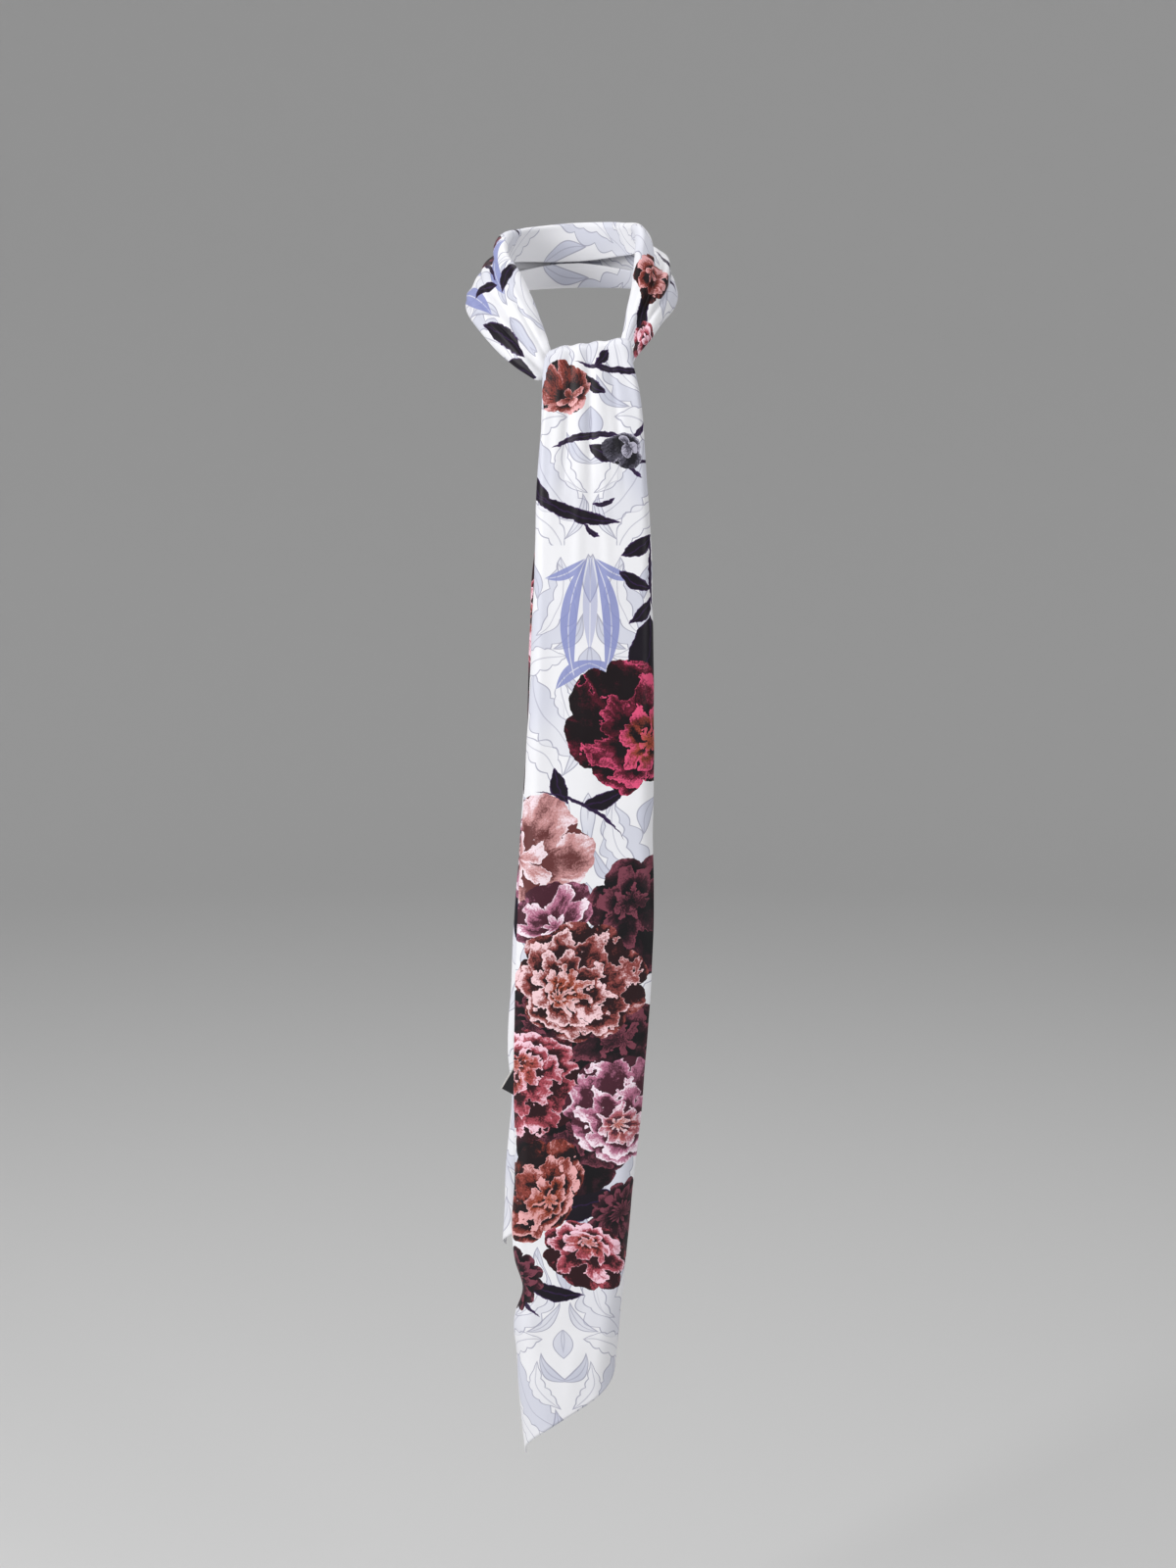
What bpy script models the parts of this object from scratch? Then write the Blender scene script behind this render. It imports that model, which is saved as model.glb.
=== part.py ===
"""A long narrow stole of doubled twill, worn round the neck and tied once in front.

The cloth is followed as one strand from the tip of the back tail, up to the knot, round
the neck from the left of the front to the right, over and behind the crossing, and down
to the tip of the front tail. Left and right are the viewer's. Units are metres, +Z is up,
-Y is the front, and the origin is where the inside of the neck band rests on the nape.
"""

import math
from collections import namedtuple

import bmesh
import bpy
import numpy as np

MM = 0.001

# Driving sizes
CLOTH_WIDTH = 0.120
WALL = 0.0016
SEAM_GAP = 0.0008
FRONT_CUT_RISE = 0.090
BACK_CUT_RISE = 0.072

LABEL_LENGTH = 0.026
LABEL_WIDTH = 0.014
LABEL_WALL = 0.0010
LABEL_CORNER_HEIGHT = -0.730
LABEL_PROUD = 0.0090
LABEL_TILT = math.radians(30.0)
LABEL_GAP = 0.0003
LABEL_ROWS = 6
LABEL_COLUMNS = 4

# A folded edge turns back at most this far, and keeps this much air to the other edge.
FULL_TURN = math.pi
EDGE_AIR = 0.0015
# Every edge has at least this much cloth to turn back.
LEAST_SPARE = 0.0002
# The half width of a crease, and how far the hanging corners of a cut drop below its line.
CREASE_WIDTH = 0.006
CORNER_DROP = 0.025

# Cells are closer together at a bend: a full turn of one radian costs this length of cloth.
BEND_COST = 0.012
FOLD_COST = 0.010
FINE_STEPS = 400
HALVINGS = 30
HEADING_REACH = 0.001

# Each row is one section of the strand, in millimetres. Edge a is the upper edge of the
# neck band, the right edge of the back tail and the left edge of the front tail. Share is
# where the middle of the cloth lies from edge a to edge b. The rolls are the radii of the
# two folded edges. The crown is how far the face swells out between them, and a crease
# dips into it at its own share of the way.
Section = namedtuple("Section", "a b share roll_a roll_b crown crease crease_at")

BACK_TAIL = [
    Section((31, -177, -880), (-61.7, -177, -880), 0.50, 14, 11, 2.0, 0.0, 0.5),
    Section((38, -178, -809), (-58.4, -178, -809), 0.50, 14, 10, 2.5, 0.0, 0.5),
    Section((46, -178, -738), (-53.0, -178, -738), 0.49, 13, 9, 2.5, 0.0, 0.5),
    Section((50, -178, -698), (-56.0, -178, -698), 0.49, 12, 9, 2.0, 0.0, 0.5),
    Section((53, -177, -640), (-53.0, -177, -640), 0.49, 12, 9, 1.5, 0.0, 0.5),
    Section((56, -176, -543), (-47.5, -176, -543), 0.50, 12, 9, 1.5, 0.0, 0.5),
    Section((57, -175, -421), (-38.5, -175, -421), 0.50, 11, 9, 2.0, 0.0, 0.5),
    Section((57, -172, -327), (-36.0, -172, -327), 0.50, 10, 8, 2.5, 0.0, 0.5),
    Section((55, -166, -251), (-30.5, -166, -251), 0.50, 8, 7, 2.5, 0.5, 0.5),
    Section((50, -159, -200), (-20, -159, -202), 0.50, 5, 5, 2.0, 1.0, 0.5),
    Section((42, -151, -154), (6, -151, -156), 0.50, 3, 3, 1.0, 0.5, 0.5),
    Section((31, -147, -121), (9, -147, -132), 0.50, 2.5, 2.5, 0.6, 0.0, 0.5),
    Section((14, -145, -97.5), (2, -145, -117), 0.50, 2.5, 2.5, 0.6, 0.0, 0.5),
]

NECK_LOOP = [
    Section((-15, -140, -87), (-20, -147, -104.5), 0.50, 2.5, 2.5, 0.6, 0.0, 0.65),
    Section((-19, -136, -77), (-28.5, -148, -105.5), 0.50, 3, 3, 2.0, 1.5, 0.65),
    Section((-23, -130, -66), (-41, -143, -99), 0.50, 3.5, 3.5, 3.5, 3.0, 0.58),
    Section((-34, -119, -39), (-59, -130, -87), 0.50, 4, 4, 4.5, 4.5, 0.50),
    Section((-48, -105, -13), (-81, -104, -66), 0.50, 4, 4, 5.0, 5.5, 0.44),
    Section((-60, -85, 4), (-93.5, -77, -49), 0.50, 4, 4, 4.0, 5.5, 0.34),
    Section((-62, -55, 16), (-92, -51, -40), 0.50, 4, 4, 3.0, 5.0, 0.30),
    Section((-45, -17, 25), (-61, 1, -31), 0.43, 3.5, 4, 3.5, 3.0, 0.38),
    Section((0, 2.0, 29), (0, 12.0, -28), 0.40, 3, 3, 3.0, 2.0, 0.45),
    Section((46, -17, 30), (66, 0, -28), 0.43, 3.5, 4, 4.0, 3.5, 0.38),
    Section((62, -50, 26), (94, -50, -31), 0.50, 4, 4, 5.0, 5.5, 0.32),
    Section((61, -80, 7), (93.5, -76, -45), 0.50, 4, 4, 5.0, 5.5, 0.42),
    Section((56, -93, -18), (79.5, -105, -59), 0.50, 4, 4, 3.5, 4.5, 0.52),
    Section((50, -103, -42), (67.5, -121, -72.5), 0.50, 3.5, 3.5, 2.5, 3.5, 0.60),
    Section((46, -114, -63), (55.5, -135, -86), 0.50, 3, 3, 1.5, 2.0, 0.66),
    Section((40, -126, -80), (47, -145, -100), 0.50, 2.5, 2.5, 0.8, 0.0, 0.66),
]

CROSSING = [
    Section((28, -145, -91), (37, -153.5, -113), 0.50, 2.5, 2.5, 0.6, 0.0, 0.5),
    Section((6, -153.5, -95), (18, -155, -116.5), 0.50, 2.5, 2.5, 0.6, 0.0, 0.5),
    Section((-12, -152.5, -109), (-2, -152.5, -129), 0.50, 2.5, 2.5, 0.6, 0.0, 0.5),
    Section((-21, -142, -117), (-10, -142, -137), 0.50, 2.5, 2.5, 0.4, 0.0, 0.5),
    Section((-12, -130, -110), (-1, -130, -130), 0.50, 2.5, 2.5, 0.4, 0.0, 0.5),
    Section((-5.5, -128.5, -103), (15, -128.5, -118), 0.50, 2.5, 2.5, 0.4, 0.0, 0.5),
    Section((-2, -128.5, -97.5), (25.5, -128.5, -100.5), 0.50, 2.5, 2.5, 0.4, 0.0, 0.5),
]

FRONT_TAIL = [
    Section((-1.5, -128.5, -92), (27, -128.5, -92), 0.50, 2.5, 2.5, 0.4, 0.0, 0.5),
    Section((-4, -131.5, -83), (31, -131.5, -82), 0.50, 2.5, 2.5, 0.5, 0.0, 0.5),
    Section((-11, -139, -79), (41, -139, -74), 0.50, 2.5, 2.5, 0.5, 0.0, 0.5),
    Section((-18, -149, -80.5), (49, -149, -71), 0.50, 2.5, 2.5, 0.5, 0.0, 0.5),
    Section((-21.5, -160, -84), (52.5, -160, -75), 0.50, 3, 3, 0.5, 0.0, 0.5),
    Section((-23, -166.5, -92), (54.3, -166.5, -89), 0.50, 3.5, 3.5, 0.8, 0.0, 0.5),
    Section((-24.9, -170, -117), (58.8, -170, -115), 0.50, 4, 4, 1.2, 0.8, 0.62),
    Section((-27.1, -176, -158), (63, -176, -158), 0.49, 5, 5, 1.8, 0.8, 0.62),
    Section((-30.9, -188, -250), (68.9, -188, -250), 0.48, 8, 8, 2.0, 0.5, 0.6),
    Section((-35.3, -197, -368), (71.3, -197, -368), 0.48, 11, 11, 2.0, 0.0, 0.5),
    Section((-42.4, -200, -497), (71.2, -200, -497), 0.50, 14, 14, 1.5, 0.0, 0.5),
    Section((-46.9, -201, -584), (71.4, -201, -584), 0.50, 16, 16, 1.0, 0.0, 0.5),
    Section((-50, -201, -716), (64, -201, -716), 0.50, 16, 18, 1.0, 0.0, 0.5),
    Section((-49.9, -200, -805), (55.6, -200, -805), 0.47, 12, 16, 1.5, 0.0, 0.5),
    Section((-50, -199, -886), (47.9, -199, -886), 0.45, 11, 15, 2.0, 0.0, 0.5),
    Section((-43, -199.5, -911), (46, -199.5, -911), 0.43, 12, 16, 2.0, 0.0, 0.5),
    Section((-50.5, -200, -938), (42.8, -200, -938), 0.46, 17, 17, 2.0, 0.0, 0.5),
    Section((-49.1, -200, -980), (39.5, -200, -980), 0.48, 24, 20, 2.0, 0.0, 0.5),
    Section((-41.5, -199, -1073), (38, -199, -1073), 0.52, 29, 20, 2.0, 0.0, 0.5),
]

ROWS = BACK_TAIL + NECK_LOOP + CROSSING + FRONT_TAIL

# How many cells each stretch has along the strand and across the cloth.
Stretch = namedtuple("Stretch", "name first last along across cut_start cut_end")

STRETCHES = [
    Stretch("back_tail", 0, len(BACK_TAIL), 44, 18, BACK_CUT_RISE, 0.0),
    Stretch("neck_loop", len(BACK_TAIL), len(BACK_TAIL + NECK_LOOP) - 1, 40, 24, 0.0, 0.0),
    Stretch(
        "crossing_wrap",
        len(BACK_TAIL + NECK_LOOP) - 1,
        len(BACK_TAIL + NECK_LOOP + CROSSING),
        22,
        18,
        0.0,
        0.0,
    ),
    Stretch(
        "front_tail",
        len(BACK_TAIL + NECK_LOOP + CROSSING),
        len(ROWS) - 1,
        64,
        18,
        0.0,
        FRONT_CUT_RISE,
    ),
]

# Base colour, roughness and metallic value of each finish.
Finish = namedtuple("Finish", "colour roughness metallic")
FINISHES = {
    "printed_twill": Finish((0.80, 0.80, 0.86), 0.50, 0.0),
    "black_tape": Finish((0.012, 0.012, 0.014), 0.70, 0.0),
}


def strand_columns():
    """All rows as numbers in metres: edge a, edge b, share, rolls, crown, crease, its place."""
    scale = np.array([MM] * 6 + [1.0] + [MM] * 4 + [1.0])
    return np.array([[*row.a, *row.b, *row[2:]] for row in ROWS]) * scale


def strand_places(columns):
    """The place of each row along the strand: the length of the middle of the cloth so far."""
    share = columns[:, 6:7]
    middle = columns[:, 0:3] * (1 - share) + columns[:, 3:6] * share
    steps = np.linalg.norm(np.diff(middle, axis=0), axis=1)
    return np.concatenate([[0.0], np.cumsum(steps)])


COLUMNS = strand_columns()
PLACES = strand_places(COLUMNS)


def slopes():
    """The slope at each row that carries a smooth curve through its neighbours."""
    steps = np.diff(PLACES)[:, None]
    rates = np.diff(COLUMNS, axis=0) / steps
    inner = (rates[:-1] * steps[1:] + rates[1:] * steps[:-1]) / (steps[1:] + steps[:-1])
    return np.concatenate([rates[:1], inner, rates[-1:]])


SLOPES = slopes()


def section_at(place):
    """The section of the strand at one place along it, in metres."""
    place = min(max(place, 0.0), PLACES[-1])
    row = min(int(np.searchsorted(PLACES, place, side="right")) - 1, len(PLACES) - 2)
    step = PLACES[row + 1] - PLACES[row]
    t = (place - PLACES[row]) / step
    columns = COLUMNS[row] * (1 + 2 * t) * (1 - t) ** 2
    columns = columns + SLOPES[row] * step * t * (1 - t) ** 2
    columns = columns + COLUMNS[row + 1] * t * t * (3 - 2 * t)
    columns = columns + SLOPES[row + 1] * step * t * t * (t - 1)
    return Section(columns[0:3], columns[3:6], *columns[6:])


def middle_at(place):
    """The middle of the cloth at one place."""
    section = section_at(place)
    return section.a + (section.b - section.a) * section.share


def heading_at(place):
    """The direction of the strand at one place."""
    ahead = middle_at(min(place + HEADING_REACH, PLACES[-1]))
    behind = middle_at(max(place - HEADING_REACH, 0.0))
    return (ahead - behind) / np.linalg.norm(ahead - behind)


def turned_edge(section, side):
    """Half the cloth, its flat length, its turn and its roll, on one side of the section."""
    height = float(np.linalg.norm(section.b - section.a))
    extent = height * (section.share if side < 0 else 1 - section.share)
    roll = section.roll_a if side < 0 else section.roll_b
    half = min(CLOTH_WIDTH / 2, height + (math.pi - 2) * roll - EDGE_AIR)
    spare = max(half - extent, LEAST_SPARE)
    if spare > roll * (math.pi / 2 - 1):
        return half, extent - roll, min(1 + spare / roll, FULL_TURN), roll
    low, high = 0.0, math.pi / 2
    for _ in range(HALVINGS):
        turn = (low + high) / 2
        if roll * (turn - math.sin(turn)) < spare:
            low = turn
        else:
            high = turn
    return half, half - roll * low, low, roll


def across_and_depth(length, flat, turn, roll):
    """Where a point this far from the middle of the cloth lies in the section's plane."""
    angle = min(max((length - flat) / roll, 0.0), turn)
    flap = max(length - flat - roll * turn, 0.0)
    across = min(length, flat) + roll * math.sin(angle) + flap * math.cos(turn)
    depth = roll * (1 - math.cos(angle)) + flap * math.sin(turn)
    return across, depth


def cloth_point(place, side):
    """A point of the middle of the wall. Side runs from -1 at edge a to 1 at edge b."""
    section = section_at(place)
    height = float(np.linalg.norm(section.b - section.a))
    over = (section.b - section.a) / height
    out = np.cross(heading_at(place), over)
    out /= np.linalg.norm(out)

    half, flat, turn, roll = turned_edge(section, side)
    length = abs(side) * half
    across, depth = across_and_depth(length, flat, turn, roll)
    across = -across if side < 0 else across

    swell = 0.0
    if length < flat + roll * math.pi / 2:
        t = section.share + across / height
        from_crease = (t - section.crease_at) * height / CREASE_WIDTH
        swell = section.crown * math.sin(math.pi * min(max(t, 0.0), 1.0))
        swell -= section.crease * math.exp(-(from_crease**2))
    middle = section.a + (section.b - section.a) * section.share
    return middle + over * across + out * (swell - depth)


def even_steps(costs, values, count):
    """Values at count equal steps of their summed cost."""
    return np.interp(np.linspace(0.0, costs[-1], count + 1), costs, values)


def places_between(start, end, count):
    """Places along a stretch, closer together where the strand bends."""
    fine = np.linspace(start, end, FINE_STEPS)
    middles = np.array([middle_at(place) for place in fine])
    steps = np.diff(middles, axis=0)
    lengths = np.linalg.norm(steps, axis=1)
    directions = steps / lengths[:, None]
    turns = np.linalg.norm(np.diff(directions, axis=0), axis=1)
    cost = lengths + BEND_COST * np.concatenate([[0.0], turns])
    return even_steps(np.concatenate([[0.0], np.cumsum(cost)]), fine, count)


def sides_at(place, count):
    """Sides from -1 to 1, closer together where the edges roll over."""
    section = section_at(place)
    fine = np.linspace(-1.0, 1.0, FINE_STEPS + 1)
    spent = []
    for side in fine:
        half, flat, turn, roll = turned_edge(section, side)
        angle = min(max((abs(side) * half - flat) / roll, 0.0), turn)
        spent.append(abs(side) * half + FOLD_COST * angle)
    cost = np.abs(np.diff(spent))
    return even_steps(np.concatenate([[0.0], np.cumsum(cost)]), fine, count)


def slant(share):
    """How far the slanting cut has risen across the cloth. Its hanging corners drop a little."""
    return share + CORNER_DROP * math.sin(2 * math.pi * share)


def stretch_grid(stretch):
    """Rows of points over one stretch, cut straight at a knot and on the slant at a tip."""
    start, end = PLACES[stretch.first], PLACES[stretch.last]
    if stretch.first:
        start += SEAM_GAP / 2
    if stretch.last < len(PLACES) - 1:
        end -= SEAM_GAP / 2
    rows = []
    for place in places_between(start, end, stretch.along):
        t = (place - start) / (end - start)
        row = []
        for side in sides_at(place, stretch.across):
            from_a = (1 + side) / 2
            up_from_start = stretch.cut_start * slant(1 - from_a) * (1 - t)
            up_from_end = stretch.cut_end * slant(from_a) * t
            row.append(cloth_point(place + up_from_start - up_from_end, side))
        rows.append(row)
    return rows


def finish_material(name):
    """The material of one finish, made once."""
    if name in bpy.data.materials:
        return bpy.data.materials[name]
    material = bpy.data.materials.new(name)
    material.use_nodes = True
    shader = material.node_tree.nodes["Principled BSDF"]
    finish = FINISHES[name]
    shader.inputs["Base Color"].default_value = (*finish.colour, 1.0)
    shader.inputs["Roughness"].default_value = finish.roughness
    shader.inputs["Metallic"].default_value = finish.metallic
    material.diffuse_color = (*finish.colour, 1.0)
    return material


def shell(name, rows, wall, finish, collection):
    """A wall of even thickness over a grid of points."""
    cage = bmesh.new()
    verts = [[cage.verts.new(point) for point in row] for row in rows]
    for row, following in zip(verts, verts[1:]):
        for i in range(len(row) - 1):
            cage.faces.new((row[i], row[i + 1], following[i + 1], following[i]))
    mesh = bpy.data.meshes.new(name)
    cage.to_mesh(mesh)
    cage.free()
    mesh.shade_smooth()
    mesh.materials.append(finish_material(finish))
    piece = bpy.data.objects.new(name, mesh)
    collection.objects.link(piece)
    solidify = piece.modifiers.new("Wall", "SOLIDIFY")
    solidify.thickness = wall
    solidify.offset = 0.0
    return piece


def label_grid():
    """The blank tape label, caught in the left edge of the back tail, tilted down and out."""
    tail = PLACES[: len(BACK_TAIL) // 2]
    place = float(np.interp(LABEL_CORNER_HEIGHT, [middle_at(p)[2] for p in tail], tail))
    section = section_at(place)
    over = (section.b - section.a) / np.linalg.norm(section.b - section.a)
    up = heading_at(place)
    out = np.cross(up, over)
    lift = WALL / 2 + LABEL_GAP + LABEL_WALL / 2 + section.crown / 2
    corner = section.b + over * LABEL_PROUD + out * lift
    inward = -over * math.cos(LABEL_TILT) - up * math.sin(LABEL_TILT)
    upward = up * math.cos(LABEL_TILT) - over * math.sin(LABEL_TILT)
    rows = []
    for i in range(LABEL_ROWS + 1):
        start = corner + upward * LABEL_LENGTH * i / LABEL_ROWS
        steps = range(LABEL_COLUMNS + 1)
        rows.append([start + inward * LABEL_WIDTH * j / LABEL_COLUMNS for j in steps])
    return rows


def main():
    for old in list(bpy.data.objects):
        bpy.data.objects.remove(old, do_unlink=True)
    stole = bpy.data.collections.new("stole")
    bpy.context.scene.collection.children.link(stole)
    for stretch in STRETCHES:
        shell(stretch.name, stretch_grid(stretch), WALL, "printed_twill", stole)
    shell("label", label_grid(), LABEL_WALL, "black_tape", stole)


main()
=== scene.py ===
"""The looks of a long printed stole, worn round the neck and tied once in front.

The cloth is one strip of doubled twill. Each stretch of it is a soft shell of two plies on
the form of its CAD solid, with the main creases, a woven surface and a print. Places are
metres along the middle of the cloth from the tip of the back tail. Units are metres, +Z is
up and -Y is the front.
"""

import math
from collections import namedtuple

import bmesh
import bpy
import numpy as np
from bpy.props import FloatProperty, FloatVectorProperty, PointerProperty
from bpy.types import Operator, Panel, PropertyGroup
from mathutils import Matrix, Vector


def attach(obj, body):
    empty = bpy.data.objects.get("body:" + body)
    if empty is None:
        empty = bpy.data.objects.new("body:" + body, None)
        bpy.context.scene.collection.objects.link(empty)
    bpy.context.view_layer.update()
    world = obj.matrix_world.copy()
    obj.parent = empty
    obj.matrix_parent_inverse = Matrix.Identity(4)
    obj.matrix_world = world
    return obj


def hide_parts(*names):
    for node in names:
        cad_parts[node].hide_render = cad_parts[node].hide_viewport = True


bl_info = {
    "name": "Printed stole",
    "version": (1, 0, 0),
    "blender": (4, 5, 0),
    "location": "3D View > Sidebar > Stole",
    "description": "Dresses the stole's CAD model in printed twill and sets its stage",
    "category": "Object",
}


def table(kind, *rows):
    """Rows of numbers, each with the names that its kind gives them."""
    return [kind(*row) for row in rows]


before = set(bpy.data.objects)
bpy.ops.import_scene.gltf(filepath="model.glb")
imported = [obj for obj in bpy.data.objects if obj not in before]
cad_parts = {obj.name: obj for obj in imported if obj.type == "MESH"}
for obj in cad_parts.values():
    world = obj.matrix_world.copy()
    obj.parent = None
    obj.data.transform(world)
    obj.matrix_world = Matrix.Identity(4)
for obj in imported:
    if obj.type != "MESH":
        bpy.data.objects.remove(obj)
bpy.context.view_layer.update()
MM = 0.001

# The strand

# Each row is one section of the strand, in millimetres, as in the CAD source. Edge a is the
# upper edge of the neck band, the right edge of the back tail and the left edge of the front
# tail. Share is where the middle of the cloth lies from edge a to edge b. The rolls are the
# radii of the two folded edges. The crown is how far the face swells out between them, and a
# crease may dip into it at its own share of the way.
Section = namedtuple(
    "Section", "a b share roll_a roll_b crown crease crease_at", defaults=(0.0, 0.5)
)

BACK_TAIL = table(
    Section,
    ((31, -177, -880), (-61.7, -177, -880), 0.50, 14, 11, 2.0),
    ((38, -178, -809), (-58.4, -178, -809), 0.50, 14, 10, 2.5),
    ((46, -178, -738), (-53.0, -178, -738), 0.49, 13, 9, 2.5),
    ((50, -178, -698), (-56.0, -178, -698), 0.49, 12, 9, 2.0),
    ((53, -177, -640), (-53.0, -177, -640), 0.49, 12, 9, 1.5),
    ((56, -176, -543), (-47.5, -176, -543), 0.50, 12, 9, 1.5),
    ((57, -175, -421), (-38.5, -175, -421), 0.50, 11, 9, 2.0),
    ((57, -172, -327), (-36.0, -172, -327), 0.50, 10, 8, 2.5),
    ((55, -166, -251), (-30.5, -166, -251), 0.50, 8, 7, 2.5, 0.5, 0.5),
    ((50, -159, -200), (-20, -159, -202), 0.50, 5, 5, 2.0, 1.0, 0.5),
    ((42, -151, -154), (6, -151, -156), 0.50, 3, 3, 1.0, 0.5, 0.5),
    ((31, -147, -121), (9, -147, -132), 0.50, 2.5, 2.5, 0.6),
    ((14, -145, -97.5), (2, -145, -117), 0.50, 2.5, 2.5, 0.6),
)

NECK_LOOP = table(
    Section,
    ((-15, -140, -87), (-20, -147, -104.5), 0.50, 2.5, 2.5, 0.6, 0.0, 0.65),
    ((-19, -136, -77), (-28.5, -148, -105.5), 0.50, 3, 3, 2.0, 1.5, 0.65),
    ((-23, -130, -66), (-41, -143, -99), 0.50, 3.5, 3.5, 3.5, 3.0, 0.58),
    ((-34, -119, -39), (-59, -130, -87), 0.50, 4, 4, 4.5, 4.5, 0.50),
    ((-48, -105, -13), (-81, -104, -66), 0.50, 4, 4, 5.0, 5.5, 0.44),
    ((-60, -85, 4), (-93.5, -77, -49), 0.50, 4, 4, 4.0, 5.5, 0.34),
    ((-62, -55, 16), (-92, -51, -40), 0.50, 4, 4, 3.0, 5.0, 0.30),
    ((-45, -17, 25), (-61, 1, -31), 0.43, 3.5, 4, 3.5, 3.0, 0.38),
    ((0, 2.0, 29), (0, 12.0, -28), 0.40, 3, 3, 3.0, 2.0, 0.45),
    ((46, -17, 30), (66, 0, -28), 0.43, 3.5, 4, 4.0, 3.5, 0.38),
    ((62, -50, 26), (94, -50, -31), 0.50, 4, 4, 5.0, 5.5, 0.32),
    ((61, -80, 7), (93.5, -76, -45), 0.50, 4, 4, 5.0, 5.5, 0.42),
    ((56, -93, -18), (79.5, -105, -59), 0.50, 4, 4, 3.5, 4.5, 0.52),
    ((50, -103, -42), (67.5, -121, -72.5), 0.50, 3.5, 3.5, 2.5, 3.5, 0.60),
    ((46, -114, -63), (55.5, -135, -86), 0.50, 3, 3, 1.5, 2.0, 0.66),
    ((40, -126, -80), (47, -145, -100), 0.50, 2.5, 2.5, 0.8, 0.0, 0.66),
)

CROSSING = table(
    Section,
    ((28, -145, -91), (37, -153.5, -113), 0.50, 2.5, 2.5, 0.6),
    ((6, -153.5, -95), (18, -155, -116.5), 0.50, 2.5, 2.5, 0.6),
    ((-12, -152.5, -109), (-2, -152.5, -129), 0.50, 2.5, 2.5, 0.6),
    ((-21, -142, -117), (-10, -142, -137), 0.50, 2.5, 2.5, 0.4),
    ((-12, -130, -110), (-1, -130, -130), 0.50, 2.5, 2.5, 0.4),
    ((-5.5, -128.5, -103), (15, -128.5, -118), 0.50, 2.5, 2.5, 0.4),
    ((-2, -128.5, -97.5), (25.5, -128.5, -100.5), 0.50, 2.5, 2.5, 0.4),
)

FRONT_TAIL = table(
    Section,
    ((-1.5, -128.5, -92), (27, -128.5, -92), 0.50, 2.5, 2.5, 0.4),
    ((-4, -131.5, -83), (31, -131.5, -82), 0.50, 2.5, 2.5, 0.5),
    ((-11, -139, -79), (41, -139, -74), 0.50, 2.5, 2.5, 0.5),
    ((-18, -149, -80.5), (49, -149, -71), 0.50, 2.5, 2.5, 0.5),
    ((-21.5, -160, -84), (52.5, -160, -75), 0.50, 3, 3, 0.5),
    ((-23, -166.5, -92), (54.3, -166.5, -89), 0.50, 3.5, 3.5, 0.8),
    ((-24.9, -170, -117), (58.8, -170, -115), 0.50, 4, 4, 1.2, 0.8, 0.62),
    ((-27.1, -176, -158), (63, -176, -158), 0.49, 5, 5, 1.8, 0.8, 0.62),
    ((-30.9, -188, -250), (68.9, -188, -250), 0.48, 8, 8, 2.0, 0.5, 0.6),
    ((-35.3, -197, -368), (71.3, -197, -368), 0.48, 11, 11, 2.0),
    ((-42.4, -200, -497), (71.2, -200, -497), 0.50, 14, 14, 1.5),
    ((-46.9, -201, -584), (71.4, -201, -584), 0.50, 16, 16, 1.0),
    ((-50, -201, -716), (64, -201, -716), 0.50, 16, 18, 1.0),
    ((-49.9, -200, -805), (55.6, -200, -805), 0.47, 12, 16, 1.5),
    ((-50, -199, -886), (47.9, -199, -886), 0.45, 11, 15, 2.0),
    ((-43, -199.5, -911), (46, -199.5, -911), 0.43, 12, 16, 2.0),
    ((-50.5, -200, -938), (42.8, -200, -938), 0.46, 17, 17, 2.0),
    ((-49.1, -200, -980), (39.5, -200, -980), 0.48, 24, 20, 2.0),
    ((-41.5, -199, -1073), (38, -199, -1073), 0.52, 29, 20, 2.0),
)

ROWS = BACK_TAIL + NECK_LOOP + CROSSING + FRONT_TAIL

FRONT_CUT_RISE = 0.090
BACK_CUT_RISE = 0.072

# How many cells each stretch has along the strand and across the cloth, and what it lies on.
Stretch = namedtuple("Stretch", "name first last along across cut_start cut_end held rests_on")

NECK_START = len(BACK_TAIL)
CROSSING_START = len(BACK_TAIL + NECK_LOOP) - 1
FRONT_START = len(BACK_TAIL + NECK_LOOP + CROSSING)
LAST_ROW = len(ROWS) - 1

STRETCHES = [
    Stretch("back_tail", 0, NECK_START, 280, 76, BACK_CUT_RISE, 0.0, "hung", ["crossing_wrap"]),
    Stretch("neck_loop", NECK_START, CROSSING_START, 250, 96, 0.0, 0.0, "gathered", ["neck_rest"]),
    Stretch(
        "crossing_wrap", CROSSING_START, FRONT_START, 110, 70, 0.0, 0.0, "gathered", ["back_tail"]
    ),
    Stretch(
        "front_tail", FRONT_START, LAST_ROW, 400, 76, 0.0, FRONT_CUT_RISE, "hung", ["crossing_wrap"]
    ),
]

# A folded edge turns back at most this far, and keeps this much air to the other edge.
FULL_TURN = math.pi
EDGE_AIR = 0.0015
LEAST_SPARE = 0.0002
# The width of the crease in a section, and how far the hanging corner of a slanting end
# drops, as a share of its rise.
CREASE_WIDTH = 0.006
CORNER_DROP = 0.025
# How much cloth a turn of one radian counts for when cells are shared out.
BEND_COST = 0.012
FOLD_COST = 0.006
# The fine steps along a curve, the halvings of a search, and how far a heading looks ahead
# and behind.
FINE_STEPS = 400
HALVINGS = 30
HEADING_REACH = 0.001
# Points on the half round of each long edge.
RIM_STEPS = 4
# How far the cloth wavers everywhere, as waves along and across it: each is how fast it turns
# along the cloth and across it, in radians a metre, where it starts, and its share.
DRIFT = 0.00022
DRIFT_WAVES = ((61, 38, 0.0, 1.0), (37, -74, 1.9, 1.0), (118, 51, 4.1, 0.5))
# How sharply a crease fades out towards its ends.
CREASE_FADE = 0.7
# How much of an edge's thickness each point of its half round takes up on the print.
RIM_SHARE = 0.3
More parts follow.
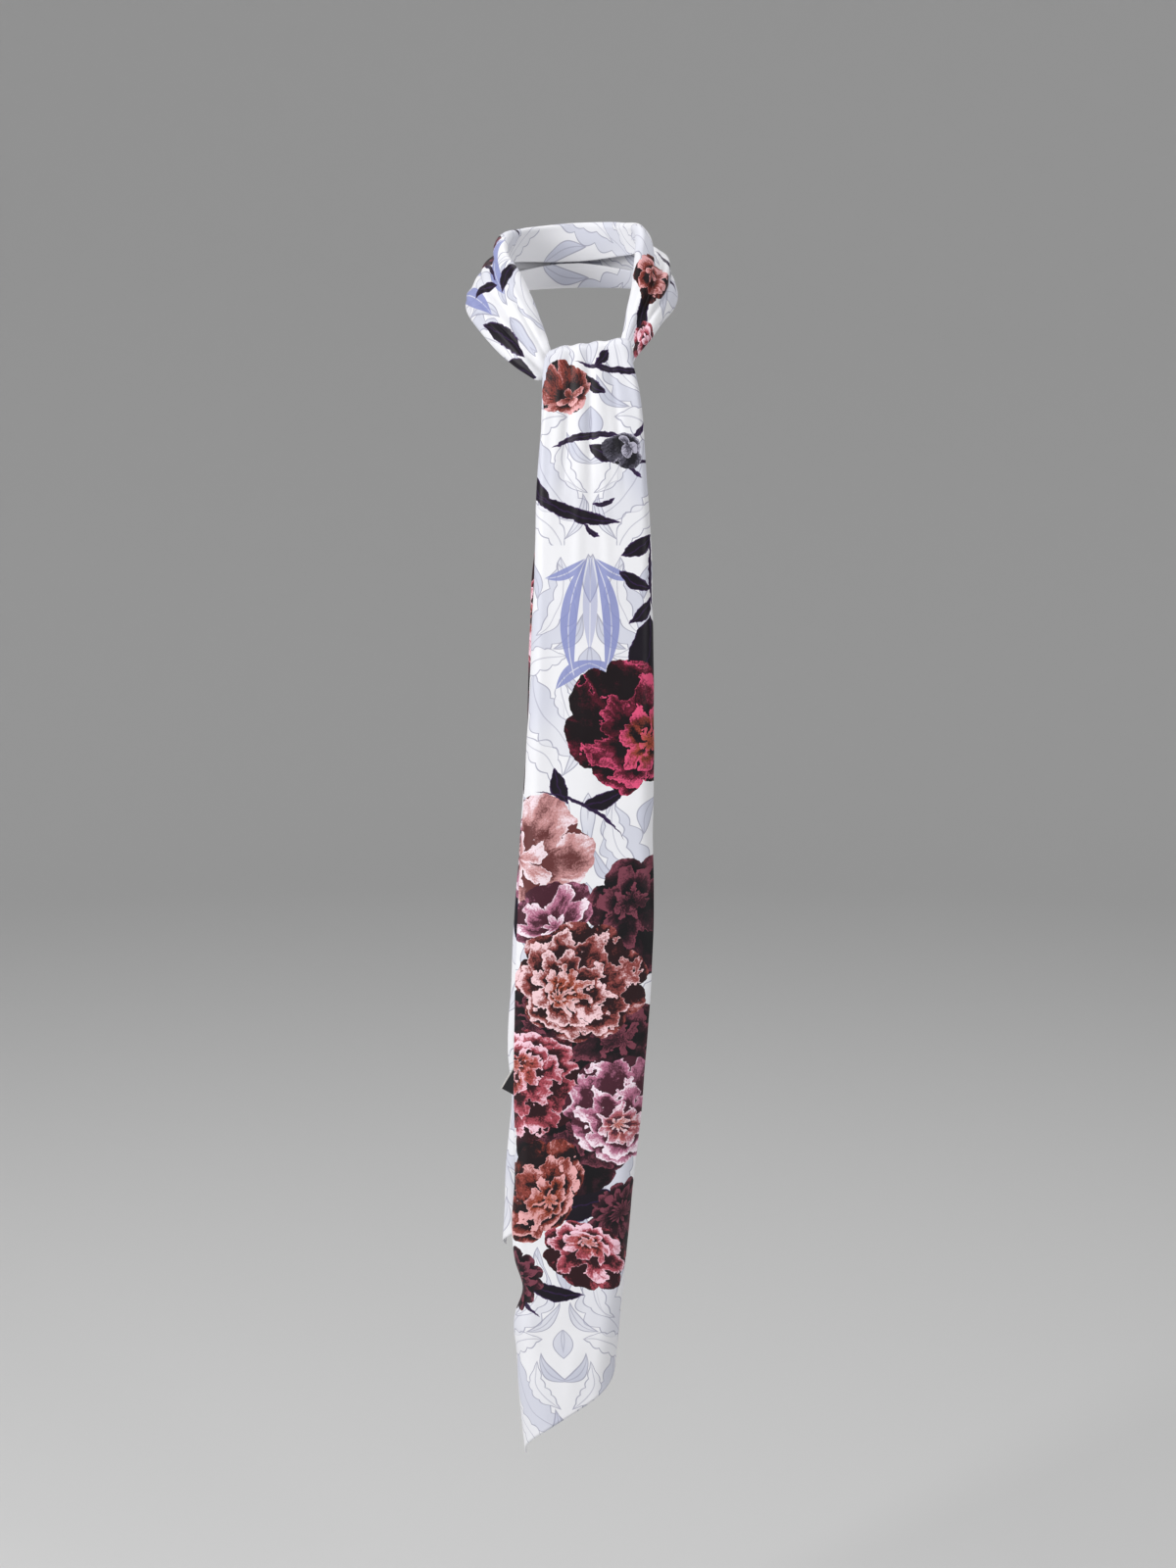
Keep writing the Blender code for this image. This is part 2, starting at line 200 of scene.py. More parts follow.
# A stretch that shows less of the cloth's width than this is gathered inside the knot.
GATHERED_SHARE = 0.7

# The label, in metres: how high its outer corner is, how far it stands out past the edge of
# the cloth and off its face, its tilt, the curl of its free corner, and its cells.
LABEL_CORNER_HEIGHT = -0.730
LABEL_PROUD = 0.0090
LABEL_LIFT = 0.0014
LABEL_TILT = math.radians(30.0)
LABEL_CURL = 0.0012
LABEL_ROWS = 48
LABEL_COLUMNS = 26

# Creases, each a line on the cloth from one place and distance across to another.
# Places are metres along the strand, and the distances across, depth and width millimetres.
# A positive depth is a ridge and a negative one a trough.
Crease = namedtuple("Crease", "start across_start end across_end depth width")

CREASES = table(
    Crease,
    # The fan below the knot
    (1.436, 34, 1.570, 8, -1.5, 3.4),
    (1.434, 40, 1.640, 24, 1.3, 4.0),
    (1.438, 46, 1.600, 36, -2.0, 3.2),
    (1.432, 53, 1.740, 48, 1.4, 5.0),
    (1.436, 59, 1.610, 60, -2.0, 3.2),
    (1.432, 66, 1.700, 76, 1.6, 4.6),
    (1.436, 73, 1.600, 90, -1.7, 3.4),
    (1.434, 80, 1.550, 110, 1.2, 3.6),
    (1.440, 88, 1.520, 112, -1.0, 3.0),
    # Long soft waves down the front tail
    (1.640, 22, 1.930, 34, -1.0, 9.0),
    (1.720, 88, 1.990, 72, -0.9, 10.0),
    (1.700, 58, 1.900, 62, 0.9, 12.0),
    (1.880, 18, 2.120, 30, 1.0, 9.0),
    (1.960, 96, 2.200, 84, 0.9, 9.0),
    (2.020, 60, 2.280, 48, -1.2, 12.0),
    (2.180, 90, 2.360, 70, -0.9, 8.0),
    (2.250, 22, 2.330, 40, -1.6, 9.0),
    (2.300, 30, 2.440, 24, 1.2, 9.0),
    (2.340, 74, 2.420, 60, 0.9, 8.0),
    # Soft waves down the back tail
    (0.030, 40, 0.260, 52, 1.1, 10.0),
    (0.120, 84, 0.380, 70, -1.2, 10.0),
    (0.300, 34, 0.560, 48, -1.0, 9.0),
    (0.430, 82, 0.640, 70, 1.0, 9.0),
    (0.560, 40, 0.745, 53, -1.3, 5.0),
    (0.580, 88, 0.750, 66, -1.2, 5.0),
    (0.600, 62, 0.760, 60, 1.2, 4.5),
    # The left of the neck band
    (0.812, 54, 0.930, 36, -2.4, 2.6),
    (0.812, 60, 0.975, 50, 2.0, 3.2),
    (0.812, 67, 0.930, 76, -2.5, 2.6),
    (0.830, 47, 1.000, 28, 2.0, 3.4),
    (0.840, 73, 0.990, 86, 2.0, 3.2),
    (0.880, 59, 1.040, 66, -2.8, 3.2),
    (0.900, 42, 1.020, 40, -2.0, 2.6),
    # The back of the neck
    (0.980, 44, 1.120, 50, -1.4, 4.0),
    (1.000, 70, 1.130, 60, 1.3, 4.5),
    # The right of the neck band
    (1.090, 40, 1.235, 53, -2.6, 3.2),
    (1.120, 62, 1.262, 65, 2.2, 3.2),
    (1.140, 77, 1.284, 68, -2.6, 2.8),
    (1.170, 45, 1.288, 57, 2.0, 2.6),
    (1.150, 56, 1.255, 60, -1.9, 2.4),
    # The wrap of the knot
    (1.290, 52, 1.380, 55, -0.6, 1.8),
    (1.296, 60, 1.424, 58, 0.5, 2.2),
    (1.300, 67, 1.400, 66, -0.6, 1.8),
)

# The print

# One row for each bloom, the lowest of the heap first: its place and distance across in
# metres on the cloth, its radius, how tall it is for its width, its turn in degrees, how
# many petals it has round and how many rings deep, how strongly its petals ruffle, how far
# its heart leans from the middle, and its palette.
Bloom = namedtuple("Bloom", "place across radius tall turn petals rings curl lean palette")

BLOOMS = table(
    Bloom,
    # The front tail
    (1.962, 0.110, 0.050, 1.1, 10, 7, 2.6, 0.50, (0.3, 0.2), "maroon"),
    (2.088, 0.086, 0.048, 1.2, 50, 6, 2.4, 0.50, (0.1, 0.3), "maroon"),
    (2.172, 0.058, 0.048, 1.1, 90, 6, 2.4, 0.60, (0.2, 0.0), "maroon"),
    (2.064, 0.010, 0.036, 1.2, 90, 9, 2.4, 0.60, (0.2, 0.2), "maroon"),
    (2.240, 0.112, 0.034, 1.1, 20, 15, 2.6, 0.30, (0.2, 0.2), "maroon"),
    (1.908, 0.014, 0.052, 1.0, 40, 5, 1.7, 0.36, (0.1, -0.3), "blush"),
    (1.796, 0.092, 0.060, 0.9, 70, 6, 3.4, 0.55, (-0.4, 0.3), "crimson"),
    (1.962, 0.030, 0.040, 0.7, 160, 6, 2.2, 0.45, (0.0, 0.4), "lilac"),
    (2.116, 0.014, 0.052, 1.0, 15, 8, 3.9, 0.62, (0.3, 0.2), "rose"),
    (2.022, 0.058, 0.060, 0.9, 200, 9, 4.3, 0.62, (-0.2, 0.3), "rust"),
    (2.138, 0.100, 0.048, 1.1, 300, 8, 3.7, 0.55, (0.3, -0.2), "lilac"),
    (2.212, 0.030, 0.052, 0.74, 118, 7, 3.4, 0.60, (-0.1, 0.4), "ember"),
    (2.272, 0.078, 0.042, 0.75, 30, 7, 3.2, 0.55, (0.1, 0.4), "rose"),
    (2.296, 0.010, 0.030, 1.0, 80, 13, 2.4, 0.34, (0.1, 0.1), "maroon"),
    # Buds below the knot
    (1.505, 0.038, 0.0225, 1.1, 200, 4, 1.6, 0.55, (0.5, 0.3), "ember"),
    (1.558, 0.088, 0.0150, 1.3, 120, 3, 1.5, 0.45, (0.5, 0.1), "ash"),
    # The neck band
    (1.212, 0.052, 0.0210, 1.2, 20, 4, 2.2, 0.45, (0.3, 0.2), "ember"),
    (1.258, 0.080, 0.0200, 1.0, 60, 5, 2.4, 0.45, (0.1, 0.2), "rose"),
    (0.952, 0.046, 0.0170, 1.1, 20, 4, 1.8, 0.40, (0.2, 0.0), "maroon"),
    # The back tail
    (0.500, 0.116, 0.040, 1.1, 30, 6, 2.4, 0.50, (0.2, 0.0), "maroon"),
    (0.440, 0.080, 0.042, 1.0, 0, 6, 2.4, 0.50, (0.2, 0.0), "maroon"),
    (0.580, 0.104, 0.050, 1.0, 80, 7, 3.4, 0.55, (0.2, 0.3), "rose"),
    (0.505, 0.046, 0.052, 0.9, 20, 8, 3.9, 0.60, (0.2, 0.3), "rust"),
    (0.385, 0.036, 0.046, 1.0, 140, 6, 3.2, 0.55, (-0.3, 0.2), "crimson"),
    (0.356, 0.112, 0.036, 1.0, 200, 8, 3.2, 0.50, (0.2, 0.2), "lilac"),
    (0.288, 0.058, 0.048, 1.0, 140, 5, 1.8, 0.36, (0.1, 0.2), "blush"),
)

# Stems, twigs and leaves. Each is a blade: the place and distance across of its middle, its
# length and width, its angle in degrees from the way along the cloth, and its bend.
Blade = namedtuple("Blade", "place across length width angle bend", defaults=(0.20,))

BLADES = table(
    Blade,
    # Sprigs below the knot
    (1.490, 0.086, 0.078, 0.0060, 84, 0.10),
    (1.502, 0.062, 0.026, 0.0110, 50, 0.15),
    (1.480, 0.072, 0.020, 0.0080, 140),
    (1.546, 0.056, 0.060, 0.0072, 100, -0.14),
    (1.561, 0.072, 0.030, 0.0150, 70, 0.15),
    (1.574, 0.096, 0.022, 0.0040, 40),
    (1.568, 0.106, 0.022, 0.0040, 100),
    (1.542, 0.102, 0.018, 0.0040, 140),
    (1.612, 0.042, 0.090, 0.0125, 70, 0.16),
    (1.592, 0.012, 0.036, 0.0150, 40),
    (1.604, 0.072, 0.022, 0.0056, 105),
    (1.628, 0.060, 0.018, 0.0050, 50),
    # Leaves at the right edge
    (1.664, 0.112, 0.070, 0.0042, 4, 0.12),
    (1.642, 0.102, 0.034, 0.0140, 125),
    (1.672, 0.098, 0.034, 0.0120, 60),
    (1.698, 0.106, 0.032, 0.0110, 140),
    (1.734, 0.112, 0.066, 0.0360, 170, 0.16),
    # Leaves among the blooms
    (1.866, 0.058, 0.090, 0.0036, 62, -0.22),
    (1.850, 0.034, 0.034, 0.0140, 20),
    (1.862, 0.074, 0.038, 0.0150, 110),
    (2.066, 0.010, 0.056, 0.0260, 30, 0.10),
    (2.226, 0.070, 0.080, 0.0280, 100, 0.14),
    (2.306, 0.046, 0.060, 0.0140, 74),
    (2.318, 0.026, 0.034, 0.0036, 40),
    # The neck band
    (0.836, 0.084, 0.040, 0.0170, 30, 0.10),
    (0.898, 0.038, 0.030, 0.0130, 110),
    (0.930, 0.050, 0.046, 0.0042, 10),
    (0.912, 0.062, 0.028, 0.0100, 60),
    (0.985, 0.038, 0.028, 0.0090, 130),
    (0.862, 0.074, 0.058, 0.0150, 12, 0.12),
    (1.240, 0.060, 0.050, 0.0150, 12, 0.15),
    (1.180, 0.066, 0.038, 0.0060, 60),
    # The back tail
    (0.304, 0.108, 0.070, 0.0240, 20, 0.16),
    (0.660, 0.104, 0.060, 0.0180, 150, 0.16),
    (0.230, 0.036, 0.056, 0.0150, 120),
    (0.160, 0.070, 0.080, 0.0036, 20, 0.14),
    (0.620, 0.064, 0.070, 0.0036, 14),
    (0.645, 0.050, 0.030, 0.0090, 60),
)

# The pale leaves of the ground, in three layers with the lowest first. They repeat along the
# cloth and mirror about its middle, so a place is within one repeat and a distance across is
# from the middle of the cloth. A layer has a tint from the bare cloth to the pale leaf, and
# the depth of the lobes at its leaves' edges.
GROUND_REPEAT = 0.205
Layer = namedtuple("Layer", "tint scallops blades")

GROUND = [
    Layer(0.62, 0.30, table(
        Blade,
        (0.062, 0.032, 0.100, 0.040, 28, 0.34),
        (0.156, 0.034, 0.094, 0.036, -34, -0.30),
    )),
    Layer(0.10, 0.24, table(
        Blade,
        (0.050, 0.024, 0.066, 0.020, 18, 0.40),
        (0.100, 0.047, 0.056, 0.022, 62, -0.30),
        (0.182, 0.040, 0.064, 0.022, -48, 0.30),
        (0.140, 0.022, 0.050, 0.016, -22, -0.34),
    )),
    Layer(0.80, 0.0, table(
        Blade,
        (0.030, 0.000, 0.044, 0.013, 0, 0.0),
        (0.100, 0.000, 0.028, 0.016, 0, 0.0),
        (0.078, 0.014, 0.038, 0.0095, 42, 0.34),
        (0.124, 0.013, 0.036, 0.0090, -40, -0.34),
        (0.026, 0.050, 0.040, 0.0130, -24, 0.26),
        (0.182, 0.010, 0.040, 0.0080, 20, 0.30),
    )),
]

# Blue leaves that stand where the ground is barest, mirrored about the middle of the cloth.
BLUE_LEAVES = table(
    Blade,
    (1.700, 0.018, 0.104, 0.0150, 6, -0.20),
    (1.664, 0.020, 0.040, 0.0100, 64, 0.24),
    (1.748, 0.014, 0.044, 0.0130, 56, -0.24),
    (0.920, 0.016, 0.070, 0.0160, 20),
)
PALE_BLUE_LEAVES = table(
    Blade,
    (1.690, 0.000, 0.084, 0.0130, 0, 0.0),
    (0.955, 0.002, 0.050, 0.0120, 10, 0.0),
)

# The darkest, middle and lightest colour of each kind of petal.
Palette = namedtuple("Palette", "dark middle light")
PALETTES = {
    "crimson": Palette((0.005, 0.001, 0.003), (0.095, 0.005, 0.018), (0.740, 0.085, 0.200)),
    "maroon": Palette((0.003, 0.002, 0.004), (0.032, 0.007, 0.014), (0.190, 0.046, 0.072)),
    "rust": Palette((0.018, 0.004, 0.006), (0.290, 0.062, 0.056), (0.920, 0.640, 0.680)),
    "rose": Palette((0.024, 0.004, 0.007), (0.440, 0.070, 0.100), (0.940, 0.620, 0.730)),
    "ember": Palette((0.010, 0.004, 0.006), (0.270, 0.045, 0.032), (0.820, 0.420, 0.430)),
    "blush": Palette((0.130, 0.034, 0.034), (0.580, 0.280, 0.280), (0.900, 0.750, 0.810)),
    "lilac": Palette((0.060, 0.012, 0.024), (0.500, 0.170, 0.280), (0.940, 0.800, 0.890)),
    "ash": Palette((0.006, 0.005, 0.010), (0.080, 0.074, 0.105), (0.450, 0.430, 0.530)),
}


def in_metres(name, description, default):
    """A length that a user may change."""
    return FloatProperty(name=name, description=description, default=default, unit="LENGTH")


def in_watts(name, description, default):
    """The power of a light."""
    return FloatProperty(name=name, description=description, default=default, unit="POWER")


def as_colour(name, description, default):
    """A colour that a user may change."""
    return FloatVectorProperty(name=name, description=description, default=default, subtype="COLOR")


class StoleSizes(PropertyGroup):
    """The sizes of the cloth that a user would change."""

    cloth_width: in_metres("Cloth width", "Width of the strip", 0.120)
    wall_middle: in_metres("Wall", "Both plies together", 0.0009)
    wall_edge: in_metres("Edge roll", "Thickness of the soft, unpressed long edges", 0.0015)
    edge_reach: in_metres("Edge reach", "How far in from a long edge it stays thicker", 0.0035)
    crease_strength: FloatProperty(
        name="Creases", description="How deep the creases are", default=1.0, subtype="FACTOR"
    )
    twill_pitch: in_metres("Twill pitch", "Distance from one twill line to the next", 0.00055)
    label_length: in_metres("Label length", "Length of the tape", 0.026)
    label_width: in_metres("Label width", "Width of the tape", 0.014)
    label_wall: in_metres("Label wall", "Thickness of the tape", 0.0006)


class StoleColours(PropertyGroup):
    """The colours of the cloth and its label."""

    ground: as_colour("Ground", "The bare cloth", (0.84, 0.84, 0.87))
    pale_leaf: as_colour("Pale leaves", "The fill of the ground's leaves", (0.54, 0.56, 0.68))
    pale_line: as_colour("Pale lines", "The outlines of the ground's leaves", (0.32, 0.32, 0.42))
    blue_leaf: as_colour("Blue leaves", "The blue leaves on the bare ground", (0.25, 0.28, 0.55))
    leaf: as_colour("Leaves", "Stems, twigs and leaves", (0.006, 0.003, 0.009))
    leaf_edge: as_colour("Leaf edge", "The bluish rim of the leaves", (0.045, 0.016, 0.090))
    heart: as_colour("Heart", "The middle of a full bloom", (0.46, 0.085, 0.035))
    tape: as_colour("Tape", "The label", (0.012, 0.012, 0.014))
    # A lighter grey that the tape is mixed towards along the crests of its ribs.
    rib_crest_grey: as_colour("Rib crests", "Where the label's ribs are lighter", (0.10, 0.10, 0.11))
    tape_edge: as_colour("Tape edge", "The label's pale edge", (0.70, 0.68, 0.64))


class StoleStage(PropertyGroup):
    """The camera, the floor and the lights."""

    camera_place: FloatVectorProperty(
        name="Camera place",
        description="Where the camera stands",
        default=(0.0148, -3.065, 0.0),
        subtype="TRANSLATION",
    )
    camera_pitch: FloatProperty(
        name="Camera pitch",
        description="How far the camera looks down",
        default=math.radians(9.0),
        subtype="ANGLE",
    )
    focal_length: FloatProperty(
        name="Focal length", description="In millimetres, for a 36 mm long side", default=76.6
    )
    floor_height: in_metres("Floor height", "Below the tips", -1.30)
    floor_radius: in_metres("Floor radius", "Out to the wall round it", 6.2)
    floor_colour: as_colour("Floor", "The plain pale floor", (0.62, 0.62, 0.62))
    key_power: in_watts("Key light", "Power of the large soft light", 80.0)
    fill_power: in_watts("Fill light", "Power of the light opposite", 27.0)
    top_power: in_watts("Top light", "Power of the light overhead", 30.0)
    sky_strength: FloatProperty(
        name="Sky", description="Strength of the even light all round", default=0.38
    )


# The form of the cloth


def strand_columns():
    """All rows as numbers in metres: edge a, edge b, share, rolls, crown, crease, its place."""
    scale = np.array([MM] * 6 + [1.0] + [MM] * 4 + [1.0])
    return np.array([[*row.a, *row.b, *row[2:]] for row in ROWS]) * scale


def strand_places(columns):
    """The place of each row along the strand: the length of the middle of the cloth so far."""
    share = columns[:, 6:7]
    middle = columns[:, 0:3] * (1 - share) + columns[:, 3:6] * share
    steps = np.linalg.norm(np.diff(middle, axis=0), axis=1)
    return np.concatenate([[0.0], np.cumsum(steps)])


COLUMNS = strand_columns()
PLACES = strand_places(COLUMNS)


def slopes():
    """The slope at each row that carries a smooth curve through its neighbours."""
    steps = np.diff(PLACES)[:, None]
    rates = np.diff(COLUMNS, axis=0) / steps
    inner = (rates[:-1] * steps[1:] + rates[1:] * steps[:-1]) / (steps[1:] + steps[:-1])
    return np.concatenate([rates[:1], inner, rates[-1:]])


SLOPES = slopes()


def sections_at(places):
    """The sections of the strand at these places along it, in metres."""
    places = np.clip(places, 0.0, PLACES[-1])
    rows = np.clip(np.searchsorted(PLACES, places, side="right") - 1, 0, len(PLACES) - 2)
    step = (PLACES[rows + 1] - PLACES[rows])[..., None]
    t = (places - PLACES[rows])[..., None] / step
    columns = COLUMNS[rows] * (1 + 2 * t) * (1 - t) ** 2
    columns += SLOPES[rows] * step * t * (1 - t) ** 2
    columns += COLUMNS[rows + 1] * t * t * (3 - 2 * t)
    columns += SLOPES[rows + 1] * step * t * t * (t - 1)
    numbers = np.moveaxis(columns[..., 6:], -1, 0)
    return Section(columns[..., 0:3], columns[..., 3:6], *numbers)


def middles_at(places):
    """The middle of the cloth at these places."""
    section = sections_at(places)
    return section.a + (section.b - section.a) * section.share[..., None]


def headings_at(places):
    """The direction of the strand at these places."""
    ahead = middles_at(np.minimum(places + HEADING_REACH, PLACES[-1]))
    behind = middles_at(np.maximum(places - HEADING_REACH, 0.0))
    return unit(ahead - behind)


def unit(vectors):
    """The vectors at a length of one."""
    return vectors / np.linalg.norm(vectors, axis=-1, keepdims=True)


def turned_edges(section, on_a, width):
    """Half the cloth, its flat length, its turn and its roll, on the side of edge a or of b."""
    height = np.linalg.norm(section.b - section.a, axis=-1)
    extent = height * np.where(on_a, section.share, 1 - section.share)
    roll = np.where(on_a, section.roll_a, section.roll_b)
    half = np.minimum(width / 2, height + (math.pi - 2) * roll - EDGE_AIR)
    spare = np.maximum(half - extent, LEAST_SPARE)
    low, high = np.zeros_like(roll), np.full_like(roll, math.pi / 2)
    for _ in range(HALVINGS):
        turn = (low + high) / 2
        short = roll * (turn - np.sin(turn)) < spare
        low, high = np.where(short, turn, low), np.where(short, high, turn)
    folded = spare > roll * (math.pi / 2 - 1)
    flat = np.where(folded, extent - roll, half - roll * low)
    turn = np.where(folded, np.minimum(1 + spare / roll, FULL_TURN), low)
    return half, flat, turn, roll


def cloth_points(places, sides, width):
    """Points of the middle of the wall, and how far along the cloth each is from its middle."""
    section = sections_at(places)
    height = np.linalg.norm(section.b - section.a, axis=-1)
    over = (section.b - section.a) / height[..., None]
    out = unit(np.cross(headings_at(places), over))

    sign = np.where(sides < 0, -1.0, 1.0)
    half, flat, turn, roll = turned_edges(section, sides < 0, width)
    length = np.abs(sides) * half
    angle = np.clip((length - flat) / roll, 0.0, turn)
    flap = np.maximum(length - flat - roll * turn, 0.0)
    across = np.minimum(length, flat) + roll * np.sin(angle) + flap * np.cos(turn)
    across *= sign
    depth = roll * (1 - np.cos(angle)) + flap * np.sin(turn)

    t = section.share + across / height
    from_crease = (t - section.crease_at) * height / CREASE_WIDTH
    swell = section.crown * np.sin(math.pi * np.clip(t, 0.0, 1.0))
    swell -= section.crease * np.exp(-(from_crease**2))
    swell *= length < flat + roll * math.pi / 2
    middle = section.a + (section.b - section.a) * section.share[..., None]
    points = middle + over * across[..., None] + out * (swell - depth)[..., None]
    return points, sign * length


def sides_at(place, count, width):
    """Sides from -1 to 1, closer together where the edges roll over."""
    fine = np.linspace(-1.0, 1.0, FINE_STEPS + 1)
    half, flat, turn, roll = turned_edges(sections_at(np.full_like(fine, place)), fine < 0, width)
    angle = np.clip((np.abs(fine) * half - flat) / roll, 0.0, turn)
    cost = np.abs(np.diff(np.abs(fine) * half + FOLD_COST * angle))
    return even_steps(np.concatenate([[0.0], np.cumsum(cost)]), fine, count)


def slant(share):
    """How far the slanting cut has risen across the cloth. Its hanging corners drop a little."""
    return share + CORNER_DROP * np.sin(2 * math.pi * share)


def even_steps(costs, values, count):
    """Values at count equal steps of their summed cost."""
    return np.interp(np.linspace(0.0, costs[-1], count + 1), costs, values)


def places_between(start, end, count):
    """Places along a stretch, closer together where the strand bends."""
    fine = np.linspace(start, end, FINE_STEPS)
    steps = np.diff(middles_at(fine), axis=0)
    lengths = np.linalg.norm(steps, axis=1)
    turns = np.linalg.norm(np.diff(unit(steps), axis=0), axis=1)
    cost = lengths + BEND_COST * np.concatenate([[0.0], turns])
    return even_steps(np.concatenate([[0.0], np.cumsum(cost)]), fine, count)


def normals_of(grid):
    """The normal of the face side at each point of a grid of points."""
    return unit(np.cross(np.gradient(grid, axis=0), np.gradient(grid, axis=1)))


def crease_heights(places, lengths, width, strength):
    """How far each point of the cloth stands out, from all the creases that pass near it."""
    heights = np.zeros_like(places)
    for crease in CREASES:
        start = np.array([crease.start, crease.across_start * MM - width / 2])
        end = np.array([crease.end, crease.across_end * MM - width / 2])
        line = end - start
        reach = line @ line
        t = ((places - start[0]) * line[0] + (lengths - start[1]) * line[1]) / reach
        nearest = np.clip(t, 0.0, 1.0)
        from_line = (places, lengths) - start[:, None, None] - line[:, None, None] * nearest
        away = np.hypot(*from_line) / (crease.width * MM)
        heights += crease.depth * MM * np.sin(math.pi * nearest) ** CREASE_FADE * np.exp(-(away**2))
    for along, across, start, share in DRIFT_WAVES:
        heights += DRIFT * share * np.sin(places * along + lengths * across + start)
    return heights * strength


def cloth_grid(stretch, sizes):
    """Points, places and lengths from the middle over one stretch, with its creases."""
    start, end = PLACES[stretch.first], PLACES[stretch.last]
    width = sizes.cloth_width
    steps = places_between(start, end, stretch.along)
    sides = np.array([sides_at(place, stretch.across, width) for place in steps])
    from_a = (1 + sides) / 2
    t = ((steps - start) / (end - start))[:, None]
    places = steps[:, None] + stretch.cut_start * slant(1 - from_a) * (1 - t)
    places -= stretch.cut_end * slant(from_a) * t
    points, lengths = cloth_points(places, sides, width)
    heights = crease_heights(places, lengths, width, sizes.crease_strength)
    return points + normals_of(points) * heights[:, :, None], places, lengths


# The thickness of a shell in its middle and along its long edges, and how far the edges reach.
Wall = namedtuple("Wall", "middle edge reach")


def shell_loops(points, places, lengths, width, wall):
    """Each row of the cloth as a closed loop round both faces, with its places on the print."""
    normals = normals_of(points)
    half = width / 2
    inset = np.minimum(lengths - lengths[:, :1], lengths[:, -1:] - lengths)
    swell = np.exp(-((inset / wall.reach) ** 2))
    thick = wall.middle + (wall.edge - wall.middle) * swell
    lift = normals * thick[:, :, None] / 2
    face = points + lift
    back = points - lift

    def rim(at, neighbour):
        """Points round a long edge from the face to the back, without either end."""
        outward = unit(points[:, at] - points[:, neighbour])[:, None]
        turns = math.pi * np.arange(1, RIM_STEPS + 1)[:, None] / (RIM_STEPS + 1)
        round_edge = normals[:, at, None] * np.cos(turns) + outward * np.sin(turns)
        return points[:, at, None] + thick[:, at, None, None] / 2 * round_edge

    # The loop starts and ends at the middle of the rim at edge a.
    part = RIM_STEPS // 2
    left = rim(0, 1)[:, ::-1]
    loops = np.hstack([left[:, part:], face, rim(-1, -2), back[:, ::-1], left[:, :part]])

    arcs = wall.edge * RIM_SHARE * np.arange(1, part + 2)
    first, last = lengths[:, :1], lengths[:, -1:]
    rims = [first - arcs[part - 1 :: -1], last.repeat(RIM_STEPS, 1), 2 * half - first + arcs]
    across = np.hstack([rims[0], lengths, rims[1], 2 * half - lengths[:, ::-1], rims[2]]) + half

    first, last = places[:, :1], places[:, -1:]
    rims = [first.repeat(part, 1), last.repeat(RIM_STEPS, 1), first.repeat(part + 1, 1)]
    along = np.hstack([rims[0], places, rims[1], places[:, ::-1], rims[2]])
    return loops, across, along


def label_grid(sizes):
    """The blank tape, caught in the left edge of the back tail, tilted and a little curled."""
    tail = PLACES[: NECK_START // 2]
    place = np.interp(LABEL_CORNER_HEIGHT, middles_at(tail)[:, 2], tail)
    section = sections_at(place)
    over = unit(section.b - section.a)
    up = headings_at(place)
    out = np.cross(up, over)
    corner = section.b + over * LABEL_PROUD + out * (LABEL_LIFT + section.crown / 2)
    inward = -over * math.cos(LABEL_TILT) - up * math.sin(LABEL_TILT)
    upward = up * math.cos(LABEL_TILT) - over * math.sin(LABEL_TILT)
    along, across = np.meshgrid(
        np.linspace(0.0, sizes.label_length, LABEL_ROWS + 1),
        np.linspace(0.0, sizes.label_width, LABEL_COLUMNS + 1),
        indexing="ij",
    )
    free = (1 - along / sizes.label_length) * (1 - across / sizes.label_width)
    curl = LABEL_CURL * free * free
    points = corner + upward * along[..., None] + inward * across[..., None] + out * curl[..., None]
    return points, along, across - sizes.label_width / 2


def loops_mesh(name, loops, across, along):
    """A closed mesh through loops of points, capped at both ends, with its map of the cloth."""
    rows, count = loops.shape[:2]
    corners = np.arange(rows * count).reshape(rows, count)
    others = np.roll(corners, -1, axis=1)
    sides = np.stack([corners[:-1], others[:-1], others[1:], corners[1:]], axis=-1)
    low = np.arange(count // 2 - 1)
    cap = np.stack([low, low + 1, count - 2 - low, count - 1 - low], axis=-1)
    faces = np.vstack([sides.reshape(-1, 4), cap[:, ::-1], cap + (rows - 1) * count])

    places = np.stack([across, along], axis=-1)
    quads = [places[:-1, :-1], places[:-1, 1:], places[1:, 1:], places[1:, :-1]]
    uv = [np.stack(quads, axis=2).reshape(-1, 2)]
    uv += [places[0, cap[:, ::-1]].reshape(-1, 2), places[-1, cap].reshape(-1, 2)]
    mesh = bpy.data.meshes.new(name)
    mesh.from_pydata(loops.reshape(-1, 3).tolist(), [], faces.tolist())
    layer = mesh.uv_layers.new(name="Cloth")
    layer.data.foreach_set("uv", np.concatenate(uv).astype(np.float32).ravel())
    mesh.shade_smooth()
    mesh.validate()
    return mesh


def new_object(name, data):
    """An object in the scene that shows this mesh, camera or light."""
    made = bpy.data.objects.new(name, data)
    bpy.context.scene.collection.objects.link(made)
    return made


def add_piece(name, mesh, material):
    """An object that rides on the part's body and stands for the CAD node of the same name."""
    mesh.materials.append(material)
    piece = new_object(name + "_cloth", mesh)
    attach(piece, "root")
    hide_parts(name)
    return piece


# Shader nodes

# The numbers of a Mix node's two inputs and its output, for each kind of value.
MIX_SOCKETS = {"FLOAT": (2, 3, 0), "VECTOR": (4, 5, 1), "RGBA": (6, 7, 2)}
# The middle of a noise's three numbers.
MIDDLE = (0.5, 0.5, 0.5)


def both_ways(operation):
    """An operator that adds a Math node, and its reflected form."""

    def forward(self, other):
        return self.maths(operation, self, other)

    def reflected(self, other):
        return self.maths(operation, other, self)

    return forward, reflected


